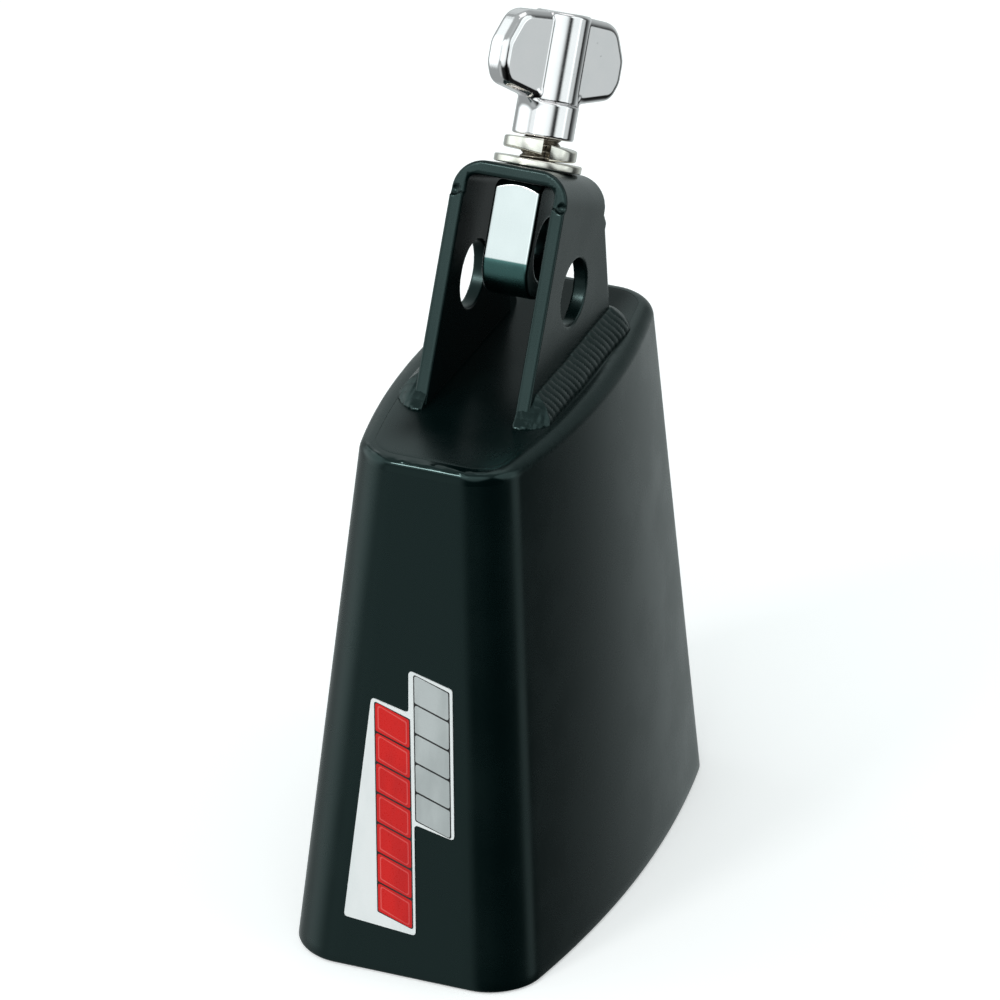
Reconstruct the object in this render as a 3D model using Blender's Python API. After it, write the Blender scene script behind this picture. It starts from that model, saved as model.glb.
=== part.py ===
"""Rod-mounted cowbell with a clamping eye bolt and a wing nut.

Bell frame, in millimetres until the meshes are written: the origin is the centre of
the open mouth, +Z runs up to the closed end (the cap), -Y faces the narrow face that
carries the label, and X runs across the bell, along the rod it is mounted on.

Bracket frame: the bracket and its bolt lean back towards +Y.  Its origin is where the
bolt axis leaves the top plate, its Z is the bolt axis and its X is the bell's X.
"""
import math

import bmesh
import bpy
from mathutils import Matrix, Vector

MM = 0.001

# Bell body: one sheet bent round, tapering from the mouth to the cap.
BELL_HEIGHT = 111.0
MOUTH_WIDTH = 49.2
MOUTH_DEPTH = 109.4
MOUTH_CORNER = 9.5
CAP_WIDTH = 30.4
CAP_DEPTH = 88.5
CAP_CORNER = 8.0
FRONT_FLARE = 13.9
SIDE_BULGE = 5.9
SHEET = 1.4
RIM_CHAMFER = 0.3
CORNER_STEPS = 9
SIDE_STEPS = 10
HEIGHT_STEPS = 6

# Cap plate and the weld that joins it to the body.
CAP_THICK = 2.0
CAP_EDGE_WIDTH = 2.8
CAP_EDGE_HEIGHT = 2.5
CAP_EDGE_STEPS = 5
WELD_GAP = 0.1

# Seam of the bent body, on the back narrow face.
SEAM_WIDTH = 4.0
SEAM_HEIGHT = 0.7
SEAM_END_MARGIN = 2.5
SEAM_STEPS = 36

# Bracket: a strap bent into a U, open towards the bell.
BRACKET_LEAN = math.radians(27.4)
BRACKET_TOP_HEIGHT = 43.5
BRACKET_WIDTH = 24.8
BRACKET_THICK = 3.0
BRACKET_BEND = 6.5
BRACKET_INNER_BEND = 2.0
PLATE_FRONT = 14.0
PLATE_BACK = 10.6
LEG_FRONT = 14.7
LEG_BACK = 12.8
RELIEF_DROP = 6.9
AXIS_FROM_CAP_FRONT = 39.5
LEG_BACK_FROM_AXIS = 30.0
ROD_HOLE_DROP = 23.3
ROD_HOLE_DIA = 14.0
BOLT_HOLE_DIA = 8.8
BEND_STEPS = 8

# Welds between the bracket legs and the cap.
LEG_WELD_WIDTH = 3.6
LEG_WELD_HEIGHT = 4.2
LEG_WELD_PITCH = 2.0
LEG_WELD_RIPPLE = 0.07
LEG_WELD_GAP = 0.1
LEG_WELD_BITE = 0.3

# M8 hardware, stacked upwards from the top plate.
STACK_GAP = 0.15
SHANK_DIA = 7.8
SHANK_END = 27.0
NUT_BORE_DIA = 7.96
THREAD_PITCH = 1.25
NUT_TURNS = 6
EYE_DEPTH = 18.6
EYE_BOTTOM_DROP = 26.2
EYE_CORNER = 7.2
EYE_CORNER_STEPS = 8
EYE_HOLE_DIA = 13.0
EYE_WIDTH = 10.0
EYE_EDGE = 0.6
EYE_TURNED_DIA = 17.6
EYE_REST_DROP = ROD_HOLE_DROP - NUT_TURNS * THREAD_PITCH
WASHER_OUTER_DIA = 17.9
WASHER_INNER_DIA = 8.6
WASHER_THICK = 1.6
WASHER_EDGE = 0.25
SPRING_OUTER_DIA = 15.1
SPRING_INNER_DIA = 8.7
SPRING_THICK = 2.4
SPRING_RISE = 1.9
SPRING_NOSE = 0.9
SPRING_NOSE_SHARE = 0.14
SPRING_SPLIT_ANGLE = math.radians(-61.0)
SPRING_SPLIT = 1.4

# Wing nut.
NUT_HEIGHT = 25.5
NUT_HUB_DIA = 12.6
NUT_HUB_HEIGHT = 7.3
NUT_BARREL_DIA = 11.6
NUT_EDGE = 0.8
WING_SPAN = 35.0
WING_THICK = 5.6
WING_EDGE = 1.5
WING_ROOT_BOTTOM = 7.2
WING_TIP_BOTTOM = 9.4
WING_TIP_TOP = 24.9
WING_ROOT_TOP = 25.3
WING_LOW_CUT = 3.6
WING_HIGH_CUT = 7.0
WING_CORNER = 4.5
WING_TURN = math.radians(-115.0)

# Label: two offset slanted bands and a tapered tail, no lettering.
LABEL_THICK = 0.2
LABEL_GAP = 0.1
LABEL_SLANT = 0.062
LABEL_RISE = 0.27
LABEL_BOTTOM = 10.0
LABEL_BAND_WIDTH = 9.0
LOWER_BAND_TOP = 58.6
LOWER_BAND_LEFT = -9.2
UPPER_BAND_BOTTOM = 33.6
UPPER_BAND_TOP = 66.0
UPPER_BAND_LEFT = -1.0
LABEL_TAIL = 13.6
LABEL_GRID = 2.5

ROUND_STEPS = 48

# Positions worked out from the dimensions above.
MOUTH_FRONT = -MOUTH_DEPTH / 2
MOUTH_BACK = MOUTH_DEPTH / 2
CAP_FRONT = MOUTH_FRONT + FRONT_FLARE
CAP_BACK = CAP_FRONT + CAP_DEPTH
AXIS_Y = CAP_FRONT + AXIS_FROM_CAP_FRONT
LEAN_SIN = math.sin(BRACKET_LEAN)
LEAN_COS = math.cos(BRACKET_LEAN)
BRACKET_ORIGIN = Vector((
    0.0,
    AXIS_Y + BRACKET_TOP_HEIGHT * LEAN_SIN,
    BELL_HEIGHT + BRACKET_TOP_HEIGHT * LEAN_COS,
))
WASHER_BASE = STACK_GAP
SPRING_BASE = WASHER_BASE + WASHER_THICK + STACK_GAP
NUT_BASE = SPRING_BASE + SPRING_THICK + SPRING_RISE + STACK_GAP


def clear_scene():
    """Remove every object and leftover mesh from the file."""
    for item in list(bpy.data.objects):
        bpy.data.objects.remove(item, do_unlink=True)
    for mesh in list(bpy.data.meshes):
        bpy.data.meshes.remove(mesh)


def material(name, colour, metallic, roughness):
    """Make a Principled material."""
    result = bpy.data.materials.new(name)
    result.use_nodes = True
    shader = result.node_tree.nodes["Principled BSDF"]
    shader.inputs["Base Color"].default_value = (*colour, 1.0)
    shader.inputs["Metallic"].default_value = metallic
    shader.inputs["Roughness"].default_value = roughness
    return result


def bracket_matrix():
    """Turn bracket frame coordinates, in metres, into bell frame coordinates."""
    return Matrix.Translation(BRACKET_ORIGIN * MM) @ Matrix.Rotation(-BRACKET_LEAN, 4, "X")


def add_object(name, points, faces, finish, smooth=True, frame=None):
    """Write points (mm) and faces as one named object with outward normals."""
    mesh = bpy.data.meshes.new(name)
    build = bmesh.new()
    vertices = [build.verts.new(Vector(point) * MM) for point in points]
    for face in faces:
        build.faces.new([vertices[index] for index in face])
    bmesh.ops.recalc_face_normals(build, faces=build.faces)
    build.to_mesh(mesh)
    build.free()
    item = bpy.data.objects.new(name, mesh)
    bpy.context.scene.collection.objects.link(item)
    if frame is not None:
        item.matrix_world = frame
    if finish is not None:
        mesh.materials.append(finish)
    if smooth:
        shade(item)
    return item


def shade(item, limit=math.radians(35)):
    """Smooth the faces and keep edges sharper than the limit crisp."""
    mesh = item.data
    build = bmesh.new()
    build.from_mesh(mesh)
    for face in build.faces:
        face.smooth = True
    for edge in build.edges:
        if len(edge.link_faces) == 2 and edge.calc_face_angle(0.0) > limit:
            edge.smooth = False
    build.to_mesh(mesh)
    build.free()


def loft(rings, closed=False):
    """Skin equal-length rings of points; an open loft gets a flat face at each end."""
    count = len(rings[0])
    points = [point for ring in rings for point in ring]
    faces = []
    spans = len(rings) if closed else len(rings) - 1
    for span in range(spans):
        low = span * count
        high = ((span + 1) % len(rings)) * count
        for index in range(count):
            after = (index + 1) % count
            faces.append((low + index, low + after, high + after, high + index))
    if not closed:
        faces.append(tuple(reversed(range(count))))
        faces.append(tuple(range(len(points) - count, len(points))))
    return points, faces


def circle(radius, height, steps=ROUND_STEPS):
    """Ring of points round the Z axis."""
    turn = 2 * math.pi / steps
    return [
        (radius * math.cos(turn * step), radius * math.sin(turn * step), height)
        for step in range(steps)
    ]


def along_x(points):
    """Turn points made round Z so that they run round X."""
    return [(height, across, -side) for side, across, height in points]


def cutter(name, points, faces, target, operation, frame=None):
    """Add a hidden tool body and cut, join or trim the target with it."""
    tool = add_object(name, points, faces, None, smooth=False, frame=frame)
    tool.hide_render = True
    tool.display_type = "WIRE"
    step = target.modifiers.new(name, "BOOLEAN")
    step.operation = operation
    step.solver = "EXACT"
    step.object = tool
    return tool


def section(height):
    """Half width, front, back and corner radius of the body's outside at a height."""
    share = height / BELL_HEIGHT
    half = (MOUTH_WIDTH + (CAP_WIDTH - MOUTH_WIDTH) * share) / 2
    front = MOUTH_FRONT + (CAP_FRONT - MOUTH_FRONT) * share
    back = MOUTH_BACK + (CAP_BACK - MOUTH_BACK) * share
    corner = MOUTH_CORNER + (CAP_CORNER - MOUTH_CORNER) * share
    return half, front, back, corner


def body_ring(height, inset=0.0, lift=None):
    """Outline of the body at a height, moved inwards by the inset.

    The lift is the height given to the points, when it differs from the height
    whose outline is used.
    """
    half, front, back, corner = section(height)
    middle = (front + back) / 2
    reach = (back - front) / 2
    radius = max(corner - inset, 0.5)
    width = half - inset - radius
    depth = reach - inset - radius
    flat = []
    for quarter, (side, end) in enumerate(((1, 1), (-1, 1), (-1, -1), (1, -1))):
        for step in range(CORNER_STEPS + 1):
            angle = math.pi / 2 * (quarter + step / CORNER_STEPS)
            flat.append((
                side * width + radius * math.cos(angle),
                end * depth + radius * math.sin(angle),
            ))
        if side * end < 0:
            for step in range(1, SIDE_STEPS):
                share = step / SIDE_STEPS
                x = side * (width + radius)
                flat.append((x, end * depth * (1 - 2 * share)))
    z = height if lift is None else lift
    ring = []
    for x, y in flat:
        bow = SIDE_BULGE * (1 - (y / reach) ** 2) * x / half
        ring.append((x + bow, middle + y, z))
    return ring


def build_shell(finish):
    """Bent sheet body, open at the mouth and under the cap plate."""
    top = BELL_HEIGHT - CAP_EDGE_HEIGHT
    rings = [body_ring(0.0, RIM_CHAMFER)]
    rings.append(body_ring(RIM_CHAMFER))
    for step in range(1, HEIGHT_STEPS):
        rings.append(body_ring(top * step / HEIGHT_STEPS))
    rings.append(body_ring(top))
    for step in range(HEIGHT_STEPS, 0, -1):
        rings.append(body_ring(top * step / HEIGHT_STEPS, SHEET))
    rings.append(body_ring(RIM_CHAMFER, SHEET))
    rings.append(body_ring(0.0, SHEET - RIM_CHAMFER))
    points, faces = loft(rings, closed=True)
    return add_object("bell_shell", points, faces, finish)


def build_cap(finish):
    """Flat plate that closes the narrow end."""
    low = BELL_HEIGHT - CAP_THICK
    inset = CAP_EDGE_WIDTH + WELD_GAP
    rings = [
        body_ring(BELL_HEIGHT, inset, low),
        body_ring(BELL_HEIGHT, inset, BELL_HEIGHT),
    ]
    points, faces = loft(rings)
    return add_object("cap_plate", points, faces, finish)


def build_cap_weld(finish):
    """Rounded weld that fills the corner between the body and the cap plate."""
    base = BELL_HEIGHT - CAP_EDGE_HEIGHT + WELD_GAP
    size = CAP_EDGE_HEIGHT - WELD_GAP
    rings = [body_ring(base, CAP_EDGE_WIDTH)]
    for step in range(CAP_EDGE_STEPS + 1):
        angle = math.pi / 2 * step / CAP_EDGE_STEPS
        inset = CAP_EDGE_WIDTH * (1 - math.cos(angle))
        rings.append(body_ring(BELL_HEIGHT, inset, base + size * math.sin(angle)))
    points, faces = loft(rings, closed=True)
    return add_object("cap_weld", points, faces, finish)


def build_seam(finish):
    """Low weld bead down the middle of the back face."""
    rings = []
    low = SEAM_END_MARGIN
    high = BELL_HEIGHT - CAP_EDGE_HEIGHT - SEAM_END_MARGIN
    for step in range(SEAM_STEPS + 1):
        share = step / SEAM_STEPS
        height = low + (high - low) * share
        back = section(height)[2] + WELD_GAP
        ends = min(1.0, 0.35 + 6.0 * min(share, 1 - share))
        ripple = 1.0 + 0.12 * (step % 2)
        half = SEAM_WIDTH / 2 * ends
        crown = SEAM_HEIGHT * ends * ripple
        ring = [(-half, back, height), (half, back, height)]
        for part in (0.25, 0.5, 0.75):
            angle = math.pi * part
            ring.append((
                half * math.cos(angle),
                back + crown * math.sin(angle),
                height,
            ))
        rings.append(ring)
    points, faces = loft(rings)
    return add_object("shell_seam_weld", points, faces, finish)


def strap_profile():
    """The U of the strap across the bell, as (x, z) in the bracket frame."""
    half = BRACKET_WIDTH / 2
    low = -BRACKET_TOP_HEIGHT - 20.0
    outside = [(half, low)]
    inside = [(half - BRACKET_THICK, low)]
    outer_centre = (half - BRACKET_BEND, -BRACKET_BEND)
    inner_drop = BRACKET_THICK + BRACKET_INNER_BEND
    inner_centre = (half - inner_drop, -inner_drop)
    for step in range(BEND_STEPS + 1):
        angle = math.pi / 2 * step / BEND_STEPS
        outside.append((
            outer_centre[0] + BRACKET_BEND * math.cos(angle),
            outer_centre[1] + BRACKET_BEND * math.sin(angle),
        ))
        inside.append((
            inner_centre[0] + BRACKET_INNER_BEND * math.cos(angle),
            inner_centre[1] + BRACKET_INNER_BEND * math.sin(angle),
        ))
    mirror_out = [(-x, z) for x, z in reversed(outside)]
    mirror_in = [(-x, z) for x, z in reversed(inside)]
    return outside + mirror_out + list(reversed(mirror_in)) + list(reversed(inside))


def leg_profile():
    """Side view of the strap, as (y, z) in the bracket frame."""
    cap_rise = LEAN_SIN / LEAN_COS
    foot = -BRACKET_TOP_HEIGHT + WELD_GAP / LEAN_COS
    front = (-LEG_FRONT, foot - LEG_FRONT * cap_rise)
    # The back foot is given along the cap from the point where the bolt axis meets it.
    back_y = LEG_BACK_FROM_AXIS * LEAN_COS
    back = (back_y, foot + back_y * cap_rise)
    return [
        (-PLATE_FRONT, 1.0),
        (-PLATE_FRONT, -RELIEF_DROP),
        (-LEG_FRONT, -RELIEF_DROP - 0.5),
        front,
        back,
        (LEG_BACK, -RELIEF_DROP - 3.0),
        (LEG_BACK, -RELIEF_DROP - 1.6),
        (PLATE_BACK, -RELIEF_DROP),
        (PLATE_BACK, 1.0),
    ]


def build_bracket(finish):
    """Bent strap with its rod holes and bolt hole."""
    frame = bracket_matrix()
    deep = 60.0
    rings = [[(x, y, z) for x, z in strap_profile()] for y in (-deep, deep)]
    bracket = add_object("mount_bracket", *loft(rings), finish, frame=frame)
    wide = BRACKET_WIDTH
    rings = [[(x, y, z) for y, z in leg_profile()] for x in (-wide, wide)]
    cutter("tool_leg_profile", *loft(rings), bracket, "INTERSECT", frame)
    rod = [circle(ROD_HOLE_DIA / 2, height) for height in (-wide, wide)]
    points, faces = loft(rod)
    points = [(x, y, z - ROD_HOLE_DROP) for x, y, z in along_x(points)]
    cutter("tool_rod_hole", points, faces, bracket, "DIFFERENCE", frame)
    bolt = [circle(BOLT_HOLE_DIA / 2, height) for height in (-8.0, 8.0)]
    cutter("tool_bolt_hole", *loft(bolt), bracket, "DIFFERENCE", frame)
    for name, side in (("tool_bite_right", 1), ("tool_bite_left", -1)):
        near = side * (BRACKET_WIDTH / 2 - LEG_WELD_BITE)
        far = side * BRACKET_WIDTH
        low = BELL_HEIGHT - 5.0
        high = BELL_HEIGHT + LEG_WELD_HEIGHT * (1 + LEG_WELD_RIPPLE) + 2 * WELD_GAP
        rings = [
            [(near, -deep, z), (far, -deep, z), (far, deep, z), (near, deep, z)]
            for z in (low, high)
        ]
        cutter(name, *loft(rings), bracket, "DIFFERENCE")
    return bracket


def weld_path(side):
    """Points along a leg's foot with the outward direction and the lean of the wall."""
    front = AXIS_Y - LEG_FRONT / LEAN_COS
    back = AXIS_Y + LEG_BACK_FROM_AXIS
    outer = BRACKET_WIDTH / 2 - LEG_WELD_BITE
    inner = BRACKET_WIDTH / 2 - BRACKET_THICK
    lean = LEAN_SIN / LEAN_COS
    pitch = LEG_WELD_PITCH / 2
    path = []
    for step in range(3):
        x = inner + 0.4 + (outer - inner - 0.4) * step / 3
        path.append((x, front, -90.0, lean))
    for step in range(5):
        path.append((outer, front, -90.0 + 22.5 * step, lean))
    steps = int((back - front) / pitch)
    for step in range(1, steps):
        y = front + (back - front) * step / steps
        fade = max(0.0, 1.0 - (y - front) / 8.0)
        path.append((outer, y, 0.0, lean * fade))
    for step in range(5):
        path.append((outer, back, 22.5 * step, 0.0))
    for step in range(2, -1, -1):
        x = inner + 0.4 + (outer - inner - 0.4) * step / 3
        path.append((x, back, 90.0, 0.0))
    result = []
    for x, y, angle, wall in path:
        turn = math.radians(angle)
        result.append((side * x, y, side * math.cos(turn), math.sin(turn), wall))
    return result


def build_leg_weld(name, side, finish):
    """Rippled fillet weld round the outside of one leg's foot."""
    path = weld_path(side)
    rings = []
    last = len(path) - 1
    for step, (x, y, out_x, out_y, wall) in enumerate(path):
        ends = min(1.0, 0.45 + 0.28 * min(step, last - step))
        ripple = 1.0 + LEG_WELD_RIPPLE * (1 if step % 2 else -1)
        width = LEG_WELD_WIDTH * ends * ripple
        height = LEG_WELD_HEIGHT * ends * (1.0 + LEG_WELD_RIPPLE * 0.5 * (1 if step % 2 else -1))
        ring = [(LEG_WELD_GAP, 0.0)]
        for part in range(5):
            angle = math.pi / 2 * part / 4
            ring.append((
                LEG_WELD_GAP + width * math.cos(angle),
                height * math.sin(angle),
            ))
        base = BELL_HEIGHT + WELD_GAP
        rings.append([
            (x + out_x * out, y + out_y * out + wall * up, base + up)
            for out, up in ring
        ])
    return add_object(name, *loft(rings), finish)


def eye_outline():
    """Side view of the eye as (y, z): straight sides and two round lower corners."""
    half = EYE_DEPTH / 2
    top = -BRACKET_THICK - STACK_GAP
    corner_y = half - EYE_CORNER
    corner_z = -EYE_BOTTOM_DROP + EYE_CORNER
    outline = [(-half, top)]
    for side, start in ((-1, math.pi), (1, 1.5 * math.pi)):
        for step in range(EYE_CORNER_STEPS + 1):
            angle = start + math.pi / 2 * step / EYE_CORNER_STEPS
            outline.append((
                side * corner_y + EYE_CORNER * math.cos(angle),
                corner_z + EYE_CORNER * math.sin(angle),
            ))
    outline.append((half, top))
    return outline


def build_eye_bolt(finish):
    """Flat-sided eye with a plain shank standing in for the M8 thread."""
    frame = bracket_matrix()
    half = EYE_WIDTH / 2
    top = -BRACKET_THICK - STACK_GAP
    middle = (top - EYE_BOTTOM_DROP) / 2
    reach = EYE_DEPTH / 2
    rings = []
    for x, inset in ((-half, EYE_EDGE), (-half + EYE_EDGE, 0.0), (half - EYE_EDGE, 0.0), (half, EYE_EDGE)):
        narrow = 1 - inset / reach
        rings.append([
            (x, y * narrow, top if z == top else middle + (z - middle) * narrow)
            for y, z in eye_outline()
        ])
    bolt = add_object("eye_bolt", *loft(rings), finish, frame=frame)
    turned = EYE_TURNED_DIA / 2
    rings = [
        circle(turned + EYE_BOTTOM_DROP, -EYE_BOTTOM_DROP - 5.0),
        circle(turned + EYE_BOTTOM_DROP, top - EYE_BOTTOM_DROP),
        circle(turned, top),
    ]
    cutter("tool_turned_top", *loft(rings), bolt, "INTERSECT", frame)
    hole = [circle(EYE_HOLE_DIA / 2, height) for height in (-EYE_WIDTH, EYE_WIDTH)]
    points, faces = loft(hole)
    points = [(x, y, z - EYE_REST_DROP) for x, y, z in along_x(points)]
    cutter("tool_eye_hole", points, faces, bolt, "DIFFERENCE", frame)
    shank = SHANK_DIA / 2
    rings = [
        circle(shank, top - 2.0),
        circle(shank, SHANK_END - 0.8),
        circle(shank - 0.8, SHANK_END),
    ]
    cutter("tool_shank", *loft(rings), bolt, "UNION", frame)
    return bolt


def build_flat_washer(finish):
    """Flat washer on the top plate."""
    outer = WASHER_OUTER_DIA / 2
    inner = WASHER_INNER_DIA / 2
    low = WASHER_BASE
    high = WASHER_BASE + WASHER_THICK
    rings = [
        circle(inner, low),
        circle(outer, low),
        circle(outer, high - WASHER_EDGE),
        circle(outer - WASHER_EDGE, high),
        circle(inner, high),
    ]
    return add_object("flat_washer", *loft(rings, closed=True), finish, frame=bracket_matrix())


def build_spring_washer(finish):
    """Split spring washer, its two ends offset along the bolt."""
    outer = SPRING_OUTER_DIA / 2
    inner = SPRING_INNER_DIA / 2
    middle = (outer + inner) / 2
    gap = SPRING_SPLIT / middle
    turn = 2 * math.pi - gap
    start = SPRING_SPLIT_ANGLE + gap / 2
    edge = 0.3
    rings = []
    for step in range(ROUND_STEPS + 1):
        share = step / ROUND_STEPS
        angle = start + turn * share
        base = SPRING_BASE + SPRING_RISE * share
        # The section grows into a nose at each end, up at the low end, down at the high one.
        grown_up = SPRING_NOSE * max(0.0, 1 - share / SPRING_NOSE_SHARE)
        grown_down = SPRING_NOSE * max(0.0, 1 - (1 - share) / SPRING_NOSE_SHARE)
        low = -grown_down
        high = SPRING_THICK + grown_up
        shape = [
            (inner, low + edge), (inner + edge, low), (outer - edge, low), (outer, low + edge),
            (outer, high - edge), (outer - edge, high),
            (inner + edge, high), (inner, high - edge),
        ]
        rings.append([
            (radius * math.cos(angle), radius * math.sin(angle), base + height)
            for radius, height in shape
        ])
    return add_object("spring_washer", *loft(rings), finish, frame=bracket_matrix())


def round_corners(corners, radius, steps=4):
    """Replace each corner of a closed outline with a short arc."""
    result = []
    count = len(corners)
    for index, corner in enumerate(corners):
        here = Vector(corner)
        before = (Vector(corners[index - 1]) - here).normalized()
        after = (Vector(corners[(index + 1) % count]) - here).normalized()
        half = before.angle(after) / 2
        back = min(radius / math.tan(half), 0.45 * (Vector(corners[index - 1]) - here).length)
        back = min(back, 0.45 * (Vector(corners[(index + 1) % count]) - here).length)
        start = here + before * back
        end = here + after * back
        for step in range(steps + 1):
            share = step / steps
            result.append(
                start * (1 - share) ** 2 + here * 2 * share * (1 - share) + end * share ** 2
            )
    return result


def wing_outline():
    """Both wings in one outline, as (u, v) across and up the nut."""
    tip = WING_SPAN / 2
    right = [
        (5.2, WING_ROOT_BOTTOM),
        (tip - WING_LOW_CUT / 2, WING_TIP_BOTTOM),
        (tip, WING_TIP_BOTTOM + WING_LOW_CUT),
        (tip, WING_TIP_TOP - WING_HIGH_CUT),
        (tip - WING_HIGH_CUT / 2, WING_TIP_TOP),
        (5.2, WING_ROOT_TOP),
    ]
    left = [(-u, v) for u, v in reversed(right)]
    return round_corners(right + left, WING_CORNER)


def build_wing_nut(finish):
    """Cast wing nut: a round barrel with two flat wings."""
    frame = bracket_matrix()
    hub = NUT_HUB_DIA / 2
    radius = NUT_BARREL_DIA / 2
    top = NUT_BASE + NUT_HEIGHT
    rings = [
        circle(hub - 0.5, NUT_BASE),
        circle(hub, NUT_BASE + 0.5),
        circle(hub, NUT_BASE + NUT_HUB_HEIGHT - 0.3),
        circle(radius, NUT_BASE + NUT_HUB_HEIGHT),
        circle(radius, top - NUT_EDGE),
        circle(radius - NUT_EDGE, top),
    ]
    nut = add_object("wing_nut", *loft(rings), finish, frame=frame)
    outline = wing_outline()
    levels = (
        (-WING_THICK / 2, WING_EDGE),
        (-WING_THICK / 2 + 0.3 * WING_EDGE, 0.3 * WING_EDGE),
        (-WING_THICK / 2 + WING_EDGE, 0.0),
        (WING_THICK / 2 - WING_EDGE, 0.0),
        (WING_THICK / 2 - 0.3 * WING_EDGE, 0.3 * WING_EDGE),
        (WING_THICK / 2, WING_EDGE),
    )
    middle = (WING_ROOT_BOTTOM + WING_ROOT_TOP) / 2
    tall = (WING_ROOT_TOP - WING_ROOT_BOTTOM) / 2
    wide = WING_SPAN / 2
    rings = []
    for across, inset in levels:
        ring = []
        for u, v in outline:
            su = u * (1 - inset / wide)
            sv = middle + (v - middle) * (1 - inset / tall)
            x = su * math.cos(WING_TURN) - across * math.sin(WING_TURN)
            y = su * math.sin(WING_TURN) + across * math.cos(WING_TURN)
            ring.append((x, y, NUT_BASE + sv))
        rings.append(ring)
    cutter("tool_wings", *loft(rings), nut, "UNION", frame)
    bore = [circle(NUT_BORE_DIA / 2, height) for height in (NUT_BASE - 5.0, top + 5.0)]
    cutter("tool_nut_bore", *loft(bore), nut, "DIFFERENCE", frame)
    return nut


def front_face(x, z):
    """Y of the body's outside on the label side."""
    half, front, _, corner = section(z)
    past = abs(x) - (half - corner)
    if past <= 0:
        return front
    return front + corner - math.sqrt(max(corner ** 2 - past ** 2, 0.0))


def label_outline():
    """Outline of the label as (x, z) on the front face."""
    def band(left, height):
        return left - LABEL_SLANT * (height - LOWER_BAND_TOP)

    upper_right = UPPER_BAND_LEFT + LABEL_BAND_WIDTH + 0.6
    lower_right = LOWER_BAND_LEFT + LABEL_BAND_WIDTH
    rise = LABEL_RISE * LABEL_BAND_WIDTH
    return [
        (band(UPPER_BAND_LEFT, UPPER_BAND_TOP), UPPER_BAND_TOP + rise / 2),
        (band(upper_right, UPPER_BAND_TOP), UPPER_BAND_TOP - rise / 2),
        (band(upper_right, UPPER_BAND_BOTTOM), UPPER_BAND_BOTTOM - rise / 2),
        (band(lower_right, UPPER_BAND_BOTTOM), UPPER_BAND_BOTTOM + rise / 4),
        (band(lower_right, LABEL_BOTTOM), LABEL_BOTTOM),
        (band(LOWER_BAND_LEFT, LABEL_BOTTOM) - LABEL_TAIL / 2, LABEL_BOTTOM + rise / 2),
        (LOWER_BAND_LEFT, LOWER_BAND_TOP + rise / 2),
        (band(UPPER_BAND_LEFT, LOWER_BAND_TOP), LOWER_BAND_TOP - rise / 4),
    ]


def build_label(finish):
    """Thin label following the curve of the front face."""
    build = bmesh.new()
    corners = [build.verts.new((x, 0.0, z)) for x, z in label_outline()]
    build.faces.new(corners)
    lines = [("x", LABEL_GRID * step) for step in range(-7, 8)]
    lines += [("z", LABEL_BOTTOM + 6 * LABEL_GRID * step) for step in range(0, 6)]
    for axis, place in lines:
        point = (place, 0, 0) if axis == "x" else (0, 0, place)
        normal = (1, 0, 0) if axis == "x" else (0, 0, 1)
        bmesh.ops.bisect_plane(
            build,
            geom=build.verts[:] + build.edges[:] + build.faces[:],
            plane_co=point,
            plane_no=normal,
        )
    bmesh.ops.triangulate(build, faces=build.faces)
    build.verts.index_update()
    near = []
    far = []
    for vertex in build.verts:
        x, z = vertex.co.x, vertex.co.z
        y = front_face(x, z) - LABEL_GAP
        near.append((x, y, z))
        far.append((x, y - LABEL_THICK, z))
    count = len(near)
    faces = []
    for face in build.faces:
        index = [vertex.index for vertex in face.verts]
        faces.append(tuple(index))
        faces.append(tuple(count + value for value in reversed(index)))
    for edge in build.edges:
        if len(edge.link_faces) == 1:
            first, second = (vertex.index for vertex in edge.verts)
            faces.append((first, second, count + second, count + first))
    build.free()
    return add_object("label", near + far, faces, finish)


def build_all():
    """Build every piece of the cowbell."""
    clear_scene()
    black = material("black_powder_coat", (0.012, 0.016, 0.016), 0.0, 0.38)
    chrome = material("chrome_plate", (0.80, 0.82, 0.83), 1.0, 0.10)
    nickel = material("nickel_plate", (0.72, 0.70, 0.66), 1.0, 0.22)
    zinc = material("zinc_plate", (0.66, 0.72, 0.74), 1.0, 0.30)
    print_film = material("printed_film", (0.75, 0.75, 0.75), 0.0, 0.35)
    build_shell(black)
    build_cap(black)
    build_cap_weld(black)
    build_seam(black)
    build_bracket(black)
    build_leg_weld("bracket_weld_right", 1, black)
    build_leg_weld("bracket_weld_left", -1, black)
    build_label(print_film)
    build_eye_bolt(zinc)
    build_flat_washer(nickel)
    build_spring_washer(nickel)
    build_wing_nut(chrome)


build_all()
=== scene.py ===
"""Looks of the rod-mounted cowbell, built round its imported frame.

Bell frame: the origin is the centre of the mouth, +Z runs up to the cap, -Y faces the
narrow face with the label and X runs along the mounting rod.  Bracket frame: its origin
is where the bolt axis leaves the top plate and its Z is the bolt axis, which leans back.
Lengths are in millimetres until a mesh is written.
"""
import math

import bpy
import numpy as np
from mathutils import Matrix, Vector


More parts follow.
